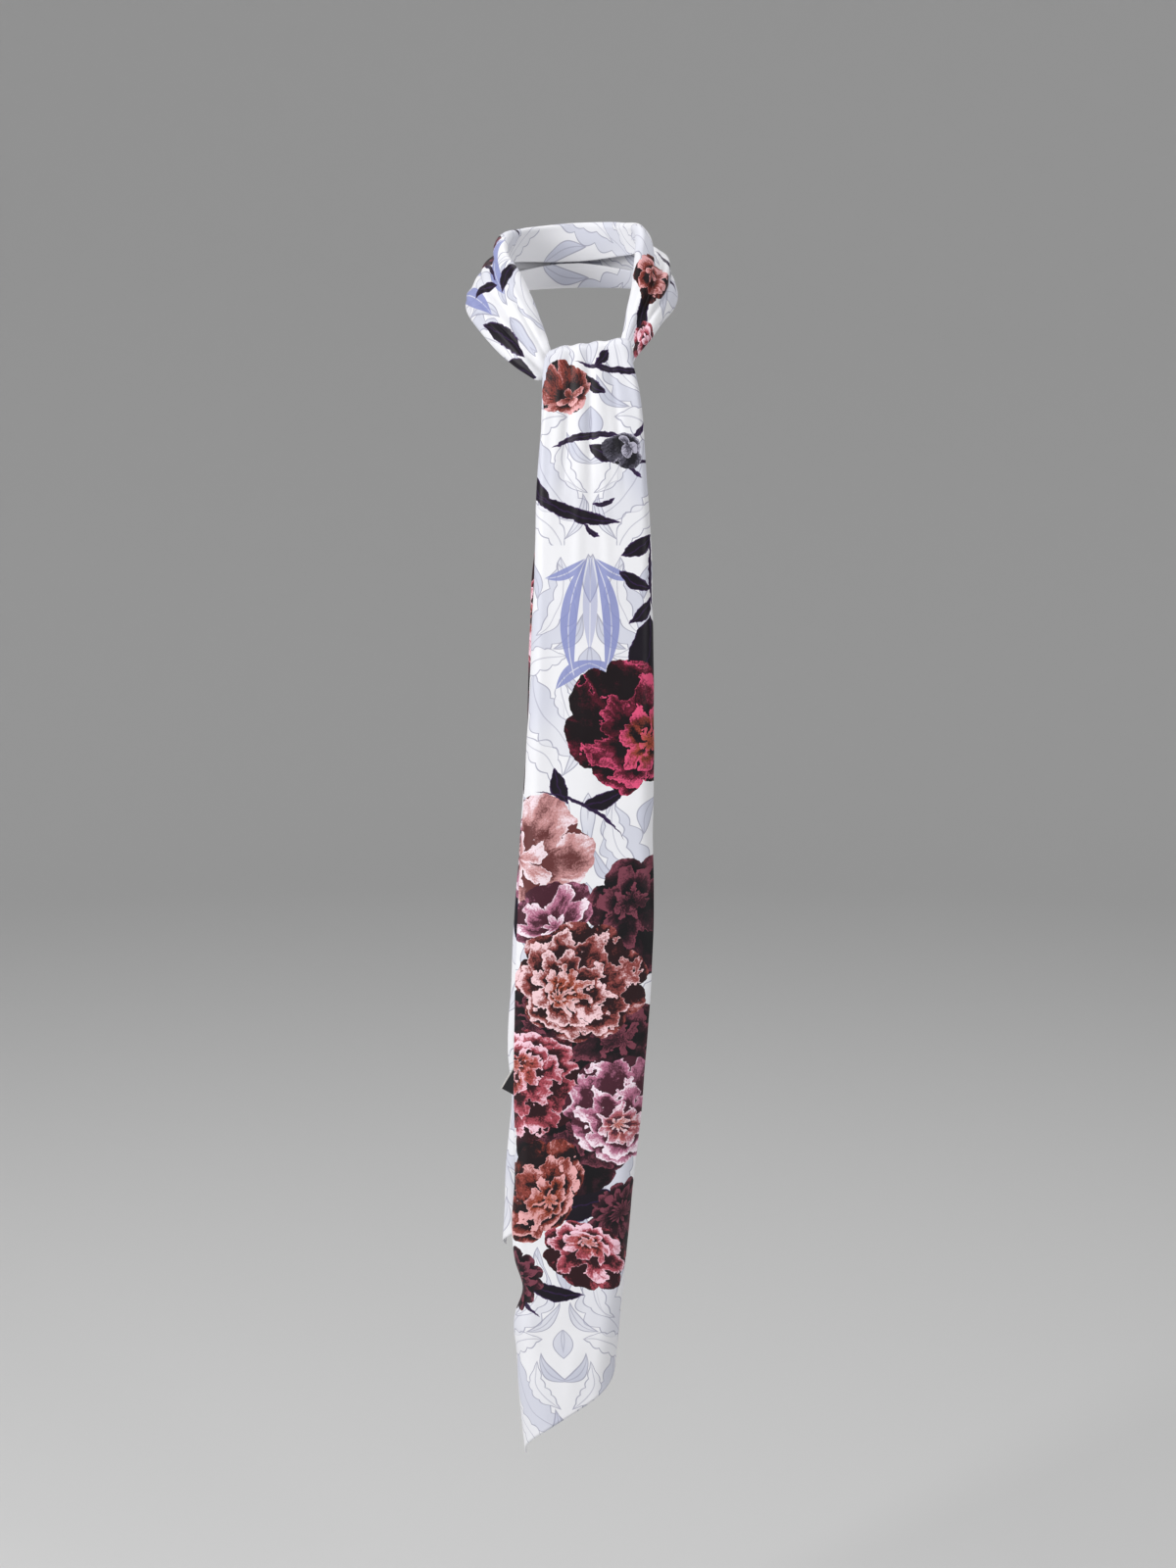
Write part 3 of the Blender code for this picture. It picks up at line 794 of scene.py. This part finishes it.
class Shade:
    """One output socket, on which Python's operators add Math nodes."""

    def __init__(self, nodes, socket):
        self.nodes = nodes
        self.socket = socket

    def maths(self, operation, *values):
        inputs = dict(enumerate(values))
        return self.nodes.add("ShaderNodeMath", {"operation": operation}, inputs)

    __add__, __radd__ = both_ways("ADD")
    __sub__, __rsub__ = both_ways("SUBTRACT")
    __mul__, __rmul__ = both_ways("MULTIPLY")
    __truediv__, __rtruediv__ = both_ways("DIVIDE")
    __pow__, __rpow__ = both_ways("POWER")
    __mod__, __rmod__ = both_ways("FLOORED_MODULO")
    __gt__ = both_ways("GREATER_THAN")[0]
    __lt__ = both_ways("LESS_THAN")[0]

    def __abs__(self):
        return self.maths("ABSOLUTE", self)

    def at_least(self, other):
        return self.maths("MAXIMUM", self, other)

    def at_most(self, other):
        return self.maths("MINIMUM", self, other)

    def sine(self):
        return self.maths("SINE", self)

    def times_plus(self, by, plus):
        return self.maths("MULTIPLY_ADD", self, by, plus)


class Nodes:
    """Adds nodes to one new material and gives back their outputs as shades."""

    def __init__(self, name):
        self.material = bpy.data.materials.new(name)
        self.material.use_nodes = True
        self.tree = self.material.node_tree

    def surface(self, inputs):
        """The material, with these values or links on its surface's sockets."""
        shader = self.tree.nodes["Principled BSDF"]
        for name, value in inputs.items():
            self.feed(shader.inputs[name], value)
        return self.material

    def add(self, kind, settings, inputs, output=0):
        """One node: its settings first, then the values or links of its sockets."""
        node = self.tree.nodes.new(kind)
        for name, value in settings.items():
            setattr(node, name, value)
        for key, value in inputs.items():
            self.feed(node.inputs[key], value)
        return Shade(self, node.outputs[output])

    def feed(self, socket, value):
        """Links a shade to a socket, or sets its value."""
        if isinstance(value, Shade):
            self.tree.links.new(value.socket, socket)
        elif socket.type == "RGBA":
            socket.default_value = (*value[:3], 1.0)
        else:
            socket.default_value = value

    def mix(self, kind, factor, a, b):
        """Goes from a to b, which are numbers, vectors or colours."""
        first, second, output = MIX_SOCKETS[kind]
        return self.add(
            "ShaderNodeMix", {"data_type": kind}, {0: factor, first: a, second: b}, output
        )

    def smooth(self, value, low, high):
        """0 below low, 1 above high, and smooth between them."""
        settings = {"interpolation_type": "SMOOTHSTEP"}
        inputs = {"Value": value, "From Min": low, "From Max": high}
        return self.add("ShaderNodeMapRange", settings, inputs)

    def vector(self, operation, a, b=(0.0, 0.0, 0.0), output=0):
        return self.add("ShaderNodeVectorMath", {"operation": operation}, {0: a, 1: b}, output)

    def scaled(self, a, by):
        return self.add("ShaderNodeVectorMath", {"operation": "SCALE"}, {0: a, "Scale": by})

    def length(self, a):
        return self.vector("LENGTH", a, output=1)

    def dot(self, a, b):
        return self.vector("DOT_PRODUCT", a, b, 1)

    def swayed(self, a, at, scale, detail, reach):
        """Moves a point on the print about by a noise, up to half the reach each way."""
        sway = self.vector("SUBTRACT", self.noise(at, scale, detail, 1), MIDDLE)
        return self.vector("ADD", a, self.vector("MULTIPLY", sway, (reach, reach, 0.0)))

    def parts(self, a):
        """The three numbers of a vector."""
        node = self.add("ShaderNodeSeparateXYZ", {}, {0: a}).socket.node
        return [Shade(self, output) for output in node.outputs]

    def joined(self, x, y, z=0.0):
        return self.add("ShaderNodeCombineXYZ", {}, {0: x, 1: y, 2: z})

    def noise(self, a, scale, detail=2.0, output=0, roughness=0.5):
        inputs = {"Vector": a, "Scale": scale, "Detail": detail, "Roughness": roughness}
        return self.add("ShaderNodeTexNoise", {"noise_dimensions": "3D"}, inputs, output)

    def bump(self, strength, distance, height):
        inputs = {"Strength": strength, "Distance": distance, "Height": height}
        return self.add("ShaderNodeBump", {}, inputs)


# The print from tip to tip, in metres.
PRINT_LENGTH = 2.467
# How many lobes a scalloped leaf has on each side, and half the width of a midrib in metres.
LOBES = 8.0
RIB_WIDTH = 0.0005

# The noises of the print: how many features a metre, and how far they move what is drawn.
GROUND_SWAY, GROUND_REACH = 24.0, 0.012
GROUND_PATCHES = 9.0
LEAF_SWAY, LEAF_REACH = 130.0, 0.0055
BLOOM_SWAY, BLOOM_REACH = 34.0, 0.013
PETAL_RUFFLE = 62.0
PETAL_PATCHES = 48.0
PETAL_GRAIN = 620.0

# How far the ground's leaves fade in patches, how strong their outlines and midribs are, and
# where an outline begins and ends on each side of an edge, in metres.
GROUND_FADE = 0.55
GROUND_LINE = 0.80
GROUND_RIB = 0.6
GROUND_LINE_WIDTH = (0.0003, 0.0007)
# How strong the two kinds of blue leaf are, and how far their midribs fade.
BLUE_STRENGTHS = (0.92, 0.50)
BLUE_RIB_FADE = 0.6
# How far inside a dark leaf its bluish rim fades, and how strong its midribs are.
LEAF_RIM = (0.0003, 0.0012)
LEAF_RIB = 0.5

# A bloom's petals lie in rings. Depth runs down each petal from 0 at its rim to 1 at the rim
# of the next ring, and across it from 0 at its spine to 1 at its sides. How round a petal's
# rim is, how deep the notches round the bloom are, and how much closer the inner rings lie.
PETAL_ROUND = 0.62
NOTCH = 0.16
NOTCH_SHAPE = 0.6
RING_SHAPE = 0.85
# Streaks down the petals: how many round the bloom and from ring to ring, and their scale.
STREAKS_ROUND = 46.0
STREAKS_DOWN = 3.0
STREAK_SCALE = 1.4
# How light a petal's rim is, and what the sides, the far side, streaks, grain and patches add.
RIM_LIGHT = 1.03
SIDE_SHADE = 0.20
FAR_SHADE = 0.75
STREAK_LIGHT = 1.25
GRAIN_LIGHT = 1.10
PATCH_LIGHT = 1.4
# The light between which a petal goes from dark to middle and from middle to light.
TO_MIDDLE = (-0.06, 0.52)
TO_LIGHT = (0.44, 0.94)
# The depths of the pale line at a rim and of the shadow at a base, and how strong both are.
RIM_LINE, RIM_STRENGTH = (0.015, 0.085), 0.75
BASE_SHADOW, SHADOW_STRENGTH = (0.70, 1.40), 0.90
# Blooms with more rings than this have a glowing heart, which ends between these distances
# and tints the middle and the light colour of the petals.
HEART_RINGS = 3.0
HEART_REACH = (0.10, 0.52)
HEART_IN_MIDDLE = 0.90
HEART_IN_LIGHT = 0.35

# The closing seam: how far in it lies, its groove, and its stitches, in metres.
SEAM_INSET = 0.0022
SEAM_GROOVE = (0.0002, 0.0008)
STITCH_PITCH = 0.0045
STITCH_GAP = (0.0003, 0.0007)
STITCH_WIDTH = 0.0011

# The twill's clouds and yarns and the tape's yarns, in features a metre. The depth of both
# weaves, the tape's rib and its pale edge, in metres.
TWILL_CLOUDS = 40.0
TWILL_YARN = 2600.0
TWILL_RELIEF = 0.00006
TAPE_YARN = 3000.0
TAPE_RELIEF = 0.0001
TAPE_RIB = 0.0006
TAPE_EDGE = (0.0007, 0.0009)


def cloth_places(nodes):
    """Where a point lies round both faces of the cloth and along it, in metres."""
    across, along, _ = nodes.parts(nodes.add("ShaderNodeUVMap", {"uv_map": "Cloth"}, {}))
    return across, along


def print_places(nodes, width):
    """Where a point lies on the print. The back ply shows the print the other way round."""
    across, along = cloth_places(nodes)
    on_back = across > width
    across = nodes.mix("FLOAT", on_back, across, 2 * width - across)
    along = nodes.mix("FLOAT", on_back, along, PRINT_LENGTH - along)
    return across, along


def motif_rows(across, place, turn, x_size, y_size):
    """Two rows whose dot products with (across, along, 1) are a motif's own coordinates."""
    c, s = math.cos(turn), math.sin(turn)
    x_row = (c / x_size, s / x_size, -(across * c + place * s) / x_size)
    y_row = (-s / y_size, c / y_size, (across * s - place * c) / y_size)
    return x_row, y_row


def blades(nodes, flat, rows, scallops=0.0):
    """How far inside the nearest of these leaves a point lies, in metres, and its midribs."""
    inside = rib = None
    for blade in rows:
        half = blade.length / 2
        turn = math.radians(90.0 - blade.angle)
        x_row, y_row = motif_rows(blade.across, blade.place, turn, half, 1.0)
        x = nodes.dot(flat, x_row)
        y = nodes.dot(flat, y_row)
        x2 = x * x
        room = x2.times_plus(-blade.width / 2, blade.width / 2)
        if scallops:
            room = room * abs((x * LOBES).sine()).times_plus(scallops, 1 - scallops)
        from_rib = abs(x2.times_plus(blade.bend * half, y))
        here = room - from_rib
        on_rib = here.at_most(RIB_WIDTH - from_rib)
        inside = here if inside is None else inside.at_least(here)
        rib = on_rib if rib is None else rib.at_least(on_rib)
    return inside, rib > 0.0


def leafy_ground(nodes, from_middle, along, colours):
    """White cloth with pale leaves in fine outline, mirrored about the middle of the cloth."""
    whole = nodes.joined(from_middle, along)
    flat = nodes.joined(from_middle, along % GROUND_REPEAT, 1.0)
    flat = nodes.swayed(flat, whole, GROUND_SWAY, 1.0, GROUND_REACH)
    patches = nodes.smooth(nodes.noise(whole, GROUND_PATCHES, 0.0), 0.40, 0.60)
    shown = patches * GROUND_FADE + (1 - GROUND_FADE)
    colour = colours.ground
    for layer in GROUND:
        inside, rib = blades(nodes, flat, layer.blades, layer.scallops)
        fill = nodes.smooth(inside, 0.0, 0.0002)
        tint = nodes.mix("RGBA", layer.tint, colours.ground, colours.pale_leaf)
        colour = nodes.mix("RGBA", fill * shown, colour, tint)
        outline = 1 - nodes.smooth(abs(inside), *GROUND_LINE_WIDTH)
        line = outline.at_least(rib * GROUND_RIB)
        colour = nodes.mix("RGBA", line * GROUND_LINE, colour, colours.pale_line)
    return colour


def bloom_layers(nodes, flat):
    """Where a point lies in the topmost bloom there, with that bloom's traits and colours."""
    # Away from all blooms: the two rows, the traits and the lean
    topmost = [(0.0, 0.0, 9.0), (0.0, 0.0, 9.0), (5.0, 2.0, 0.3), (0.0, 0.0, 0.0)]
    colours = PALETTES["rust"]
    covered = None
    for bloom in BLOOMS:
        turn = math.radians(bloom.turn)
        tall = bloom.radius * bloom.tall
        x_row, y_row = motif_rows(bloom.across, bloom.place, turn, bloom.radius, tall)
        x = nodes.dot(flat, x_row)
        y = nodes.dot(flat, y_row)
        angle = x.maths("ARCTAN2", y, x)
        lobe = abs((angle * (bloom.petals / 2)).sine()) ** NOTCH_SHAPE
        mask = lobe.times_plus(NOTCH, 1 - NOTCH) > x.times_plus(x, y * y) ** 0.5
        covered = mask if covered is None else covered.at_least(mask)
        own = (x_row, y_row, (bloom.petals, bloom.rings, bloom.curl), (*bloom.lean, 0.0))
        topmost = [nodes.mix("VECTOR", mask, *pair) for pair in zip(topmost, own)]
        palette = PALETTES[bloom.palette]
        colours = [nodes.mix("RGBA", mask, *pair) for pair in zip(colours, palette)]
    x_row, y_row, traits, lean = topmost
    local = nodes.joined(nodes.dot(flat, x_row), nodes.dot(flat, y_row))
    return covered, local, traits, lean, colours


def petals(nodes, flat, local, traits, lean, colours, heart):
    """The colour of overlapping rings of petals, each with a light rim and a dark base."""
    count, rings, curl = nodes.parts(traits)
    size = nodes.length(local)
    local = nodes.vector("ADD", local, nodes.scaled(lean, 1 - size * size))
    ruffle = nodes.vector("SUBTRACT", nodes.noise(flat, PETAL_RUFFLE, 3.0, 1, 0.6), MIDDLE)
    ruffled = nodes.vector("ADD", local, nodes.scaled(ruffle, curl))
    rx, ry, _ = nodes.parts(ruffled)
    angle = rx.maths("ARCTAN2", ry, rx) / (2 * math.pi) + 0.5
    reach = nodes.length(ruffled) ** RING_SHAPE
    depth = reach * rings
    ring = depth.maths("FLOOR", depth)
    down = depth - ring
    turned = angle * count + ring * 0.5
    from_spine = abs((turned % 1.0) - 0.5) * 2
    from_next = 1 - from_spine
    rim = 1 - PETAL_ROUND * from_spine * from_spine - down
    rim_below = 2 - PETAL_ROUND * from_next * from_next - down
    under = rim < 0.0
    deep = nodes.mix("FLOAT", under, rim, rim_below)
    spine = nodes.mix("FLOAT", under, from_spine, from_next)
    streaks = nodes.joined(angle * STREAKS_ROUND, reach * STREAKS_DOWN, ring)
    streak = nodes.noise(streaks, STREAK_SCALE, 3.0, roughness=0.65)
    grain = nodes.noise(flat, PETAL_GRAIN, 4.0, roughness=0.75)
    patches = nodes.noise(flat, PETAL_PATCHES, 1.0)
    lit = RIM_LIGHT - deep + (streak - 0.5) * STREAK_LIGHT + (grain - 0.5) * GRAIN_LIGHT
    lit = lit - spine * SIDE_SHADE - nodes.dot(local, lean) * FAR_SHADE
    lit = lit + (patches - 0.5) * PATCH_LIGHT
    dark, middle, light = colours
    core = (1 - nodes.smooth(nodes.length(ruffled), *HEART_REACH)) * (rings > HEART_RINGS)
    middle = nodes.mix("RGBA", core * HEART_IN_MIDDLE, middle, heart)
    light = nodes.mix("RGBA", core * HEART_IN_LIGHT, light, heart)
    colour = nodes.mix("RGBA", nodes.smooth(lit, *TO_MIDDLE), dark, middle)
    colour = nodes.mix("RGBA", nodes.smooth(lit, *TO_LIGHT), colour, light)
    edge = (1 - nodes.smooth(deep, *RIM_LINE)) * nodes.smooth(grain, 0.34, 0.60)
    colour = nodes.mix("RGBA", edge * RIM_STRENGTH, colour, light)
    shadow = nodes.smooth(deep, *BASE_SHADOW) * SHADOW_STRENGTH
    return nodes.mix("RGBA", shadow, colour, dark)


def print_colour(nodes, across, along, width, colours):
    """The colour of the whole print: the leafy ground, blue leaves, sprigs and blooms."""
    from_middle = abs(across - width / 2)
    colour = leafy_ground(nodes, from_middle, along, colours)
    mirrored = nodes.joined(from_middle, along, 1.0)
    for rows, strength in zip((BLUE_LEAVES, PALE_BLUE_LEAVES), BLUE_STRENGTHS):
        inside, rib = blades(nodes, mirrored, rows)
        blue = nodes.smooth(inside, 0.0, 0.0003) * (1 - rib * BLUE_RIB_FADE)
        colour = nodes.mix("RGBA", blue * strength, colour, colours.blue_leaf)
    flat = nodes.joined(across, along, 1.0)
    warped = nodes.swayed(flat, flat, LEAF_SWAY, 3.0, LEAF_REACH)
    inside, rib = blades(nodes, warped, BLADES)
    leaf = nodes.mix("RGBA", nodes.smooth(inside, *LEAF_RIM), colours.leaf_edge, colours.leaf)
    leaf = nodes.mix("RGBA", rib * LEAF_RIB, leaf, colours.leaf_edge)
    colour = nodes.mix("RGBA", nodes.smooth(inside, -0.0001, 0.0001), colour, leaf)
    scattered = nodes.swayed(warped, flat, BLOOM_SWAY, 1.0, BLOOM_REACH)
    covered, local, traits, lean, palette = bloom_layers(nodes, scattered)
    bloom = petals(nodes, flat, local, traits, lean, palette, colours.heart)
    return nodes.mix("RGBA", covered, colour, bloom)


def closing_seam(nodes, sizes):
    """The seam that closes the strip, just inside edge b on the back: a groove with stitches."""
    across, along = cloth_places(nodes)
    from_seam = abs(across - sizes.cloth_width - SEAM_INSET)
    groove = 1 - nodes.smooth(from_seam, *SEAM_GROOVE)
    from_stitch = abs((along % STITCH_PITCH) - STITCH_PITCH / 2)
    stitch = (1 - nodes.smooth(from_stitch, *STITCH_GAP)) * (from_seam < STITCH_WIDTH)
    return groove.at_least(stitch)


def printed_twill(sizes, colours):
    """Silky printed twill with its diagonal lines, a soft sheen and a little unevenness."""
    nodes = Nodes("printed_twill")
    across, along = print_places(nodes, sizes.cloth_width)
    colour = print_colour(nodes, across, along, sizes.cloth_width, colours)
    flat = nodes.joined(across, along)
    cloudy = nodes.noise(flat, TWILL_CLOUDS, 3.0)
    line = ((across + along) * (2 * math.pi / sizes.twill_pitch)).sine()
    yarn = nodes.noise(nodes.vector("MULTIPLY", flat, (1.0, 0.25, 1.0)), TWILL_YARN, 1.0)
    height = 0.5 + 0.25 * line + 0.25 * yarn - 2.5 * closing_seam(nodes, sizes)
    return nodes.surface({
        "Base Color": colour,
        "Roughness": 0.40 + 0.16 * cloudy,
        "Normal": nodes.bump(0.5, TWILL_RELIEF, height),
        "Sheen Weight": 0.06,
        "Sheen Roughness": 0.35,
        "Specular IOR Level": 0.28,
    })


def woven_tape(sizes, colours):
    """Matt black tape with fine cross ribs, lighter along their crests, and a pale outer edge."""
    nodes = Nodes("black_tape")
    across, along = cloth_places(nodes)
    flat = nodes.joined(across, along)
    rib = ((along * (2 * math.pi / TAPE_RIB)).sine() + 1) / 2
    yarn = nodes.noise(nodes.vector("MULTIPLY", flat, (0.3, 1.0, 1.0)), TAPE_YARN, 2.0)
    # The rib crests are mixed towards a lighter grey, more where the yarn noise is high.
    rib_crest_mix = nodes.mix("RGBA", rib * yarn * 0.35, colours.tape, colours.rib_crest_grey)
    from_edge = across.at_most(abs(2 * sizes.label_width - across))
    edge = 1 - nodes.smooth(from_edge, *TAPE_EDGE)
    return nodes.surface({
        "Base Color": nodes.mix("RGBA", edge, rib_crest_mix, colours.tape_edge),
        "Roughness": 0.78,
        "Normal": nodes.bump(0.7, TAPE_RELIEF, 0.6 * rib + 0.4 * yarn),
        "Sheen Weight": 0.15,
    })


class STOLE_OT_make_cloth(Operator):
    """Makes the four stretches of printed cloth on the forms of their CAD solids"""

    bl_idname = "stole.make_cloth"
    bl_label = "Make the cloth"

    def execute(self, context):
        sizes = context.scene.stole_sizes
        material = printed_twill(sizes, context.scene.stole_colours)
        wall = Wall(sizes.wall_middle, sizes.wall_edge, sizes.edge_reach)
        for stretch in STRETCHES:
            points, places, lengths = cloth_grid(stretch, sizes)
            loops, across, along = shell_loops(points, places, lengths, sizes.cloth_width, wall)
            mesh = loops_mesh(stretch.name, loops, across, along)
            piece = add_piece(stretch.name, mesh, material)
            shown = float((lengths[:, -1] - lengths[:, 0]).mean())
            length = float(PLACES[stretch.last] - PLACES[stretch.first])
            gathered = shown < GATHERED_SHARE * sizes.cloth_width
            width = shown if gathered else sizes.cloth_width
            cut = (stretch.cut_start + stretch.cut_end) / 2
            width * (length - cut)
        return {"FINISHED"}


class STOLE_OT_make_label(Operator):
    """Makes the blank tape label at the left edge of the back tail"""

    bl_idname = "stole.make_label"
    bl_label = "Make the label"

    def execute(self, context):
        sizes = context.scene.stole_sizes
        material = woven_tape(sizes, context.scene.stole_colours)
        wall = Wall(sizes.label_wall, sizes.label_wall, sizes.edge_reach)
        loops, across, along = shell_loops(*label_grid(sizes), sizes.label_width, wall)
        piece = add_piece("label", loops_mesh("label", loops, across, along), material)
        return {"FINISHED"}


# The camera's sensor in millimetres, along the photo's long side.
SENSOR = 36.0

# The cove at the rim of the floor, how high the wall behind it is, and the floor's finish.
COVE_RADIUS = 2.4
COVE_STEPS = 16
COVE_SIDES = 96
WALL_HEIGHT = 3.2
FLOOR_ROUGHNESS = 0.85

# The soft lights: where each stands, the size of its panel and the point that it faces.
Lamp = namedtuple("Lamp", "name place size target")
LAMPS = (
    Lamp("key", (-2.4, -2.0, 0.7), 1.5, (0.0, -0.15, -0.60)),
    Lamp("fill", (2.2, -2.5, 0.4), 1.4, (0.0, -0.15, -0.60)),
    Lamp("top", (0.3, 0.9, 2.0), 1.6, (0.0, -0.10, -0.30)),
)


class STOLE_OT_set_stage(Operator):
    """Sets the camera, the pale floor and the soft lights"""

    bl_idname = "stole.set_stage"
    bl_label = "Set the stage"

    def execute(self, context):
        stage = context.scene.stole_stage
        camera_data = bpy.data.cameras.new("camera")
        camera_data.lens = stage.focal_length
        camera_data.sensor_width = SENSOR
        camera = new_object("camera", camera_data)
        camera.location = stage.camera_place
        camera.rotation_euler = (math.pi / 2 - stage.camera_pitch, 0.0, 0.0)
        context.scene.camera = camera

        floor = make_floor(stage)
        for lamp, power in zip(LAMPS, (stage.key_power, stage.fill_power, stage.top_power)):
            soft_light(lamp, power)
        world = bpy.data.worlds.new("studio")
        world.use_nodes = True
        background = world.node_tree.nodes["Background"]
        background.inputs["Color"].default_value = (1.0, 1.0, 1.0, 1.0)
        background.inputs["Strength"].default_value = stage.sky_strength
        context.scene.world = world
        context.scene.view_settings.view_transform = "Standard"
        return {"FINISHED"}


def make_floor(stage):
    """A plain round floor that sweeps up all round the part in one smooth cove."""
    turns = [math.pi / 2 * i / COVE_STEPS for i in range(COVE_STEPS + 1)]
    flat_radius = stage.floor_radius - COVE_RADIUS
    profile = [(0.0, stage.floor_height)]
    for turn in turns:
        out = flat_radius + COVE_RADIUS * math.sin(turn)
        profile.append((out, stage.floor_height + COVE_RADIUS * (1 - math.cos(turn))))
    profile.append((stage.floor_radius, stage.floor_height + WALL_HEIGHT))
    model = bmesh.new()
    corners = [model.verts.new((out, 0.0, height)) for out, height in profile]
    edges = [model.edges.new(pair) for pair in zip(corners, corners[1:])]
    bmesh.ops.spin(
        model,
        geom=corners + edges,
        cent=(0.0, 0.0, 0.0),
        axis=(0.0, 0.0, 1.0),
        angle=2 * math.pi,
        steps=COVE_SIDES,
    )
    bmesh.ops.remove_doubles(model, verts=model.verts, dist=0.001)
    mesh = bpy.data.meshes.new("floor")
    model.to_mesh(mesh)
    model.free()
    mesh.shade_smooth()
    finish = {"Base Color": stage.floor_colour, "Roughness": FLOOR_ROUGHNESS}
    mesh.materials.append(Nodes("pale_floor").surface(finish))
    return new_object("floor", mesh)


def soft_light(lamp, power):
    """A square soft light that faces a point."""
    data = bpy.data.lights.new(lamp.name, "AREA")
    data.size = lamp.size
    data.energy = power
    way = Vector(lamp.target) - Vector(lamp.place)
    facing = way.to_track_quat("-Z", "Y").to_matrix().to_4x4()
    new_object(lamp.name, data).matrix_world = Matrix.Translation(lamp.place) @ facing


class STOLE_PT_panel(Panel):
    """The stole's operators and settings, in the 3D view's sidebar"""

    bl_label = "Stole"
    bl_idname = "STOLE_PT_panel"
    bl_space_type = "VIEW_3D"
    bl_region_type = "UI"
    bl_category = "Stole"

    def draw(self, context):
        for operator in OPERATORS:
            self.layout.operator(operator.bl_idname)
        scene = context.scene
        for group in (scene.stole_sizes, scene.stole_colours, scene.stole_stage):
            for name in group.bl_rna.properties.keys():
                if name not in ("rna_type", "name"):
                    self.layout.prop(group, name)


OPERATORS = (STOLE_OT_make_cloth, STOLE_OT_make_label, STOLE_OT_set_stage)
CLASSES = (StoleSizes, StoleColours, StoleStage, *OPERATORS, STOLE_PT_panel)


def register():
    for each in CLASSES:
        bpy.utils.register_class(each)
    bpy.types.Scene.stole_sizes = PointerProperty(type=StoleSizes)
    bpy.types.Scene.stole_colours = PointerProperty(type=StoleColours)
    bpy.types.Scene.stole_stage = PointerProperty(type=StoleStage)


def unregister():
    del bpy.types.Scene.stole_sizes
    del bpy.types.Scene.stole_colours
    del bpy.types.Scene.stole_stage
    for each in reversed(CLASSES):
        bpy.utils.unregister_class(each)


def main():
    """Makes every piece and the stage."""
    register()
    bpy.ops.stole.make_cloth()
    bpy.ops.stole.make_label()
    bpy.ops.stole.set_stage()


if __name__ == "__main__":
    main()
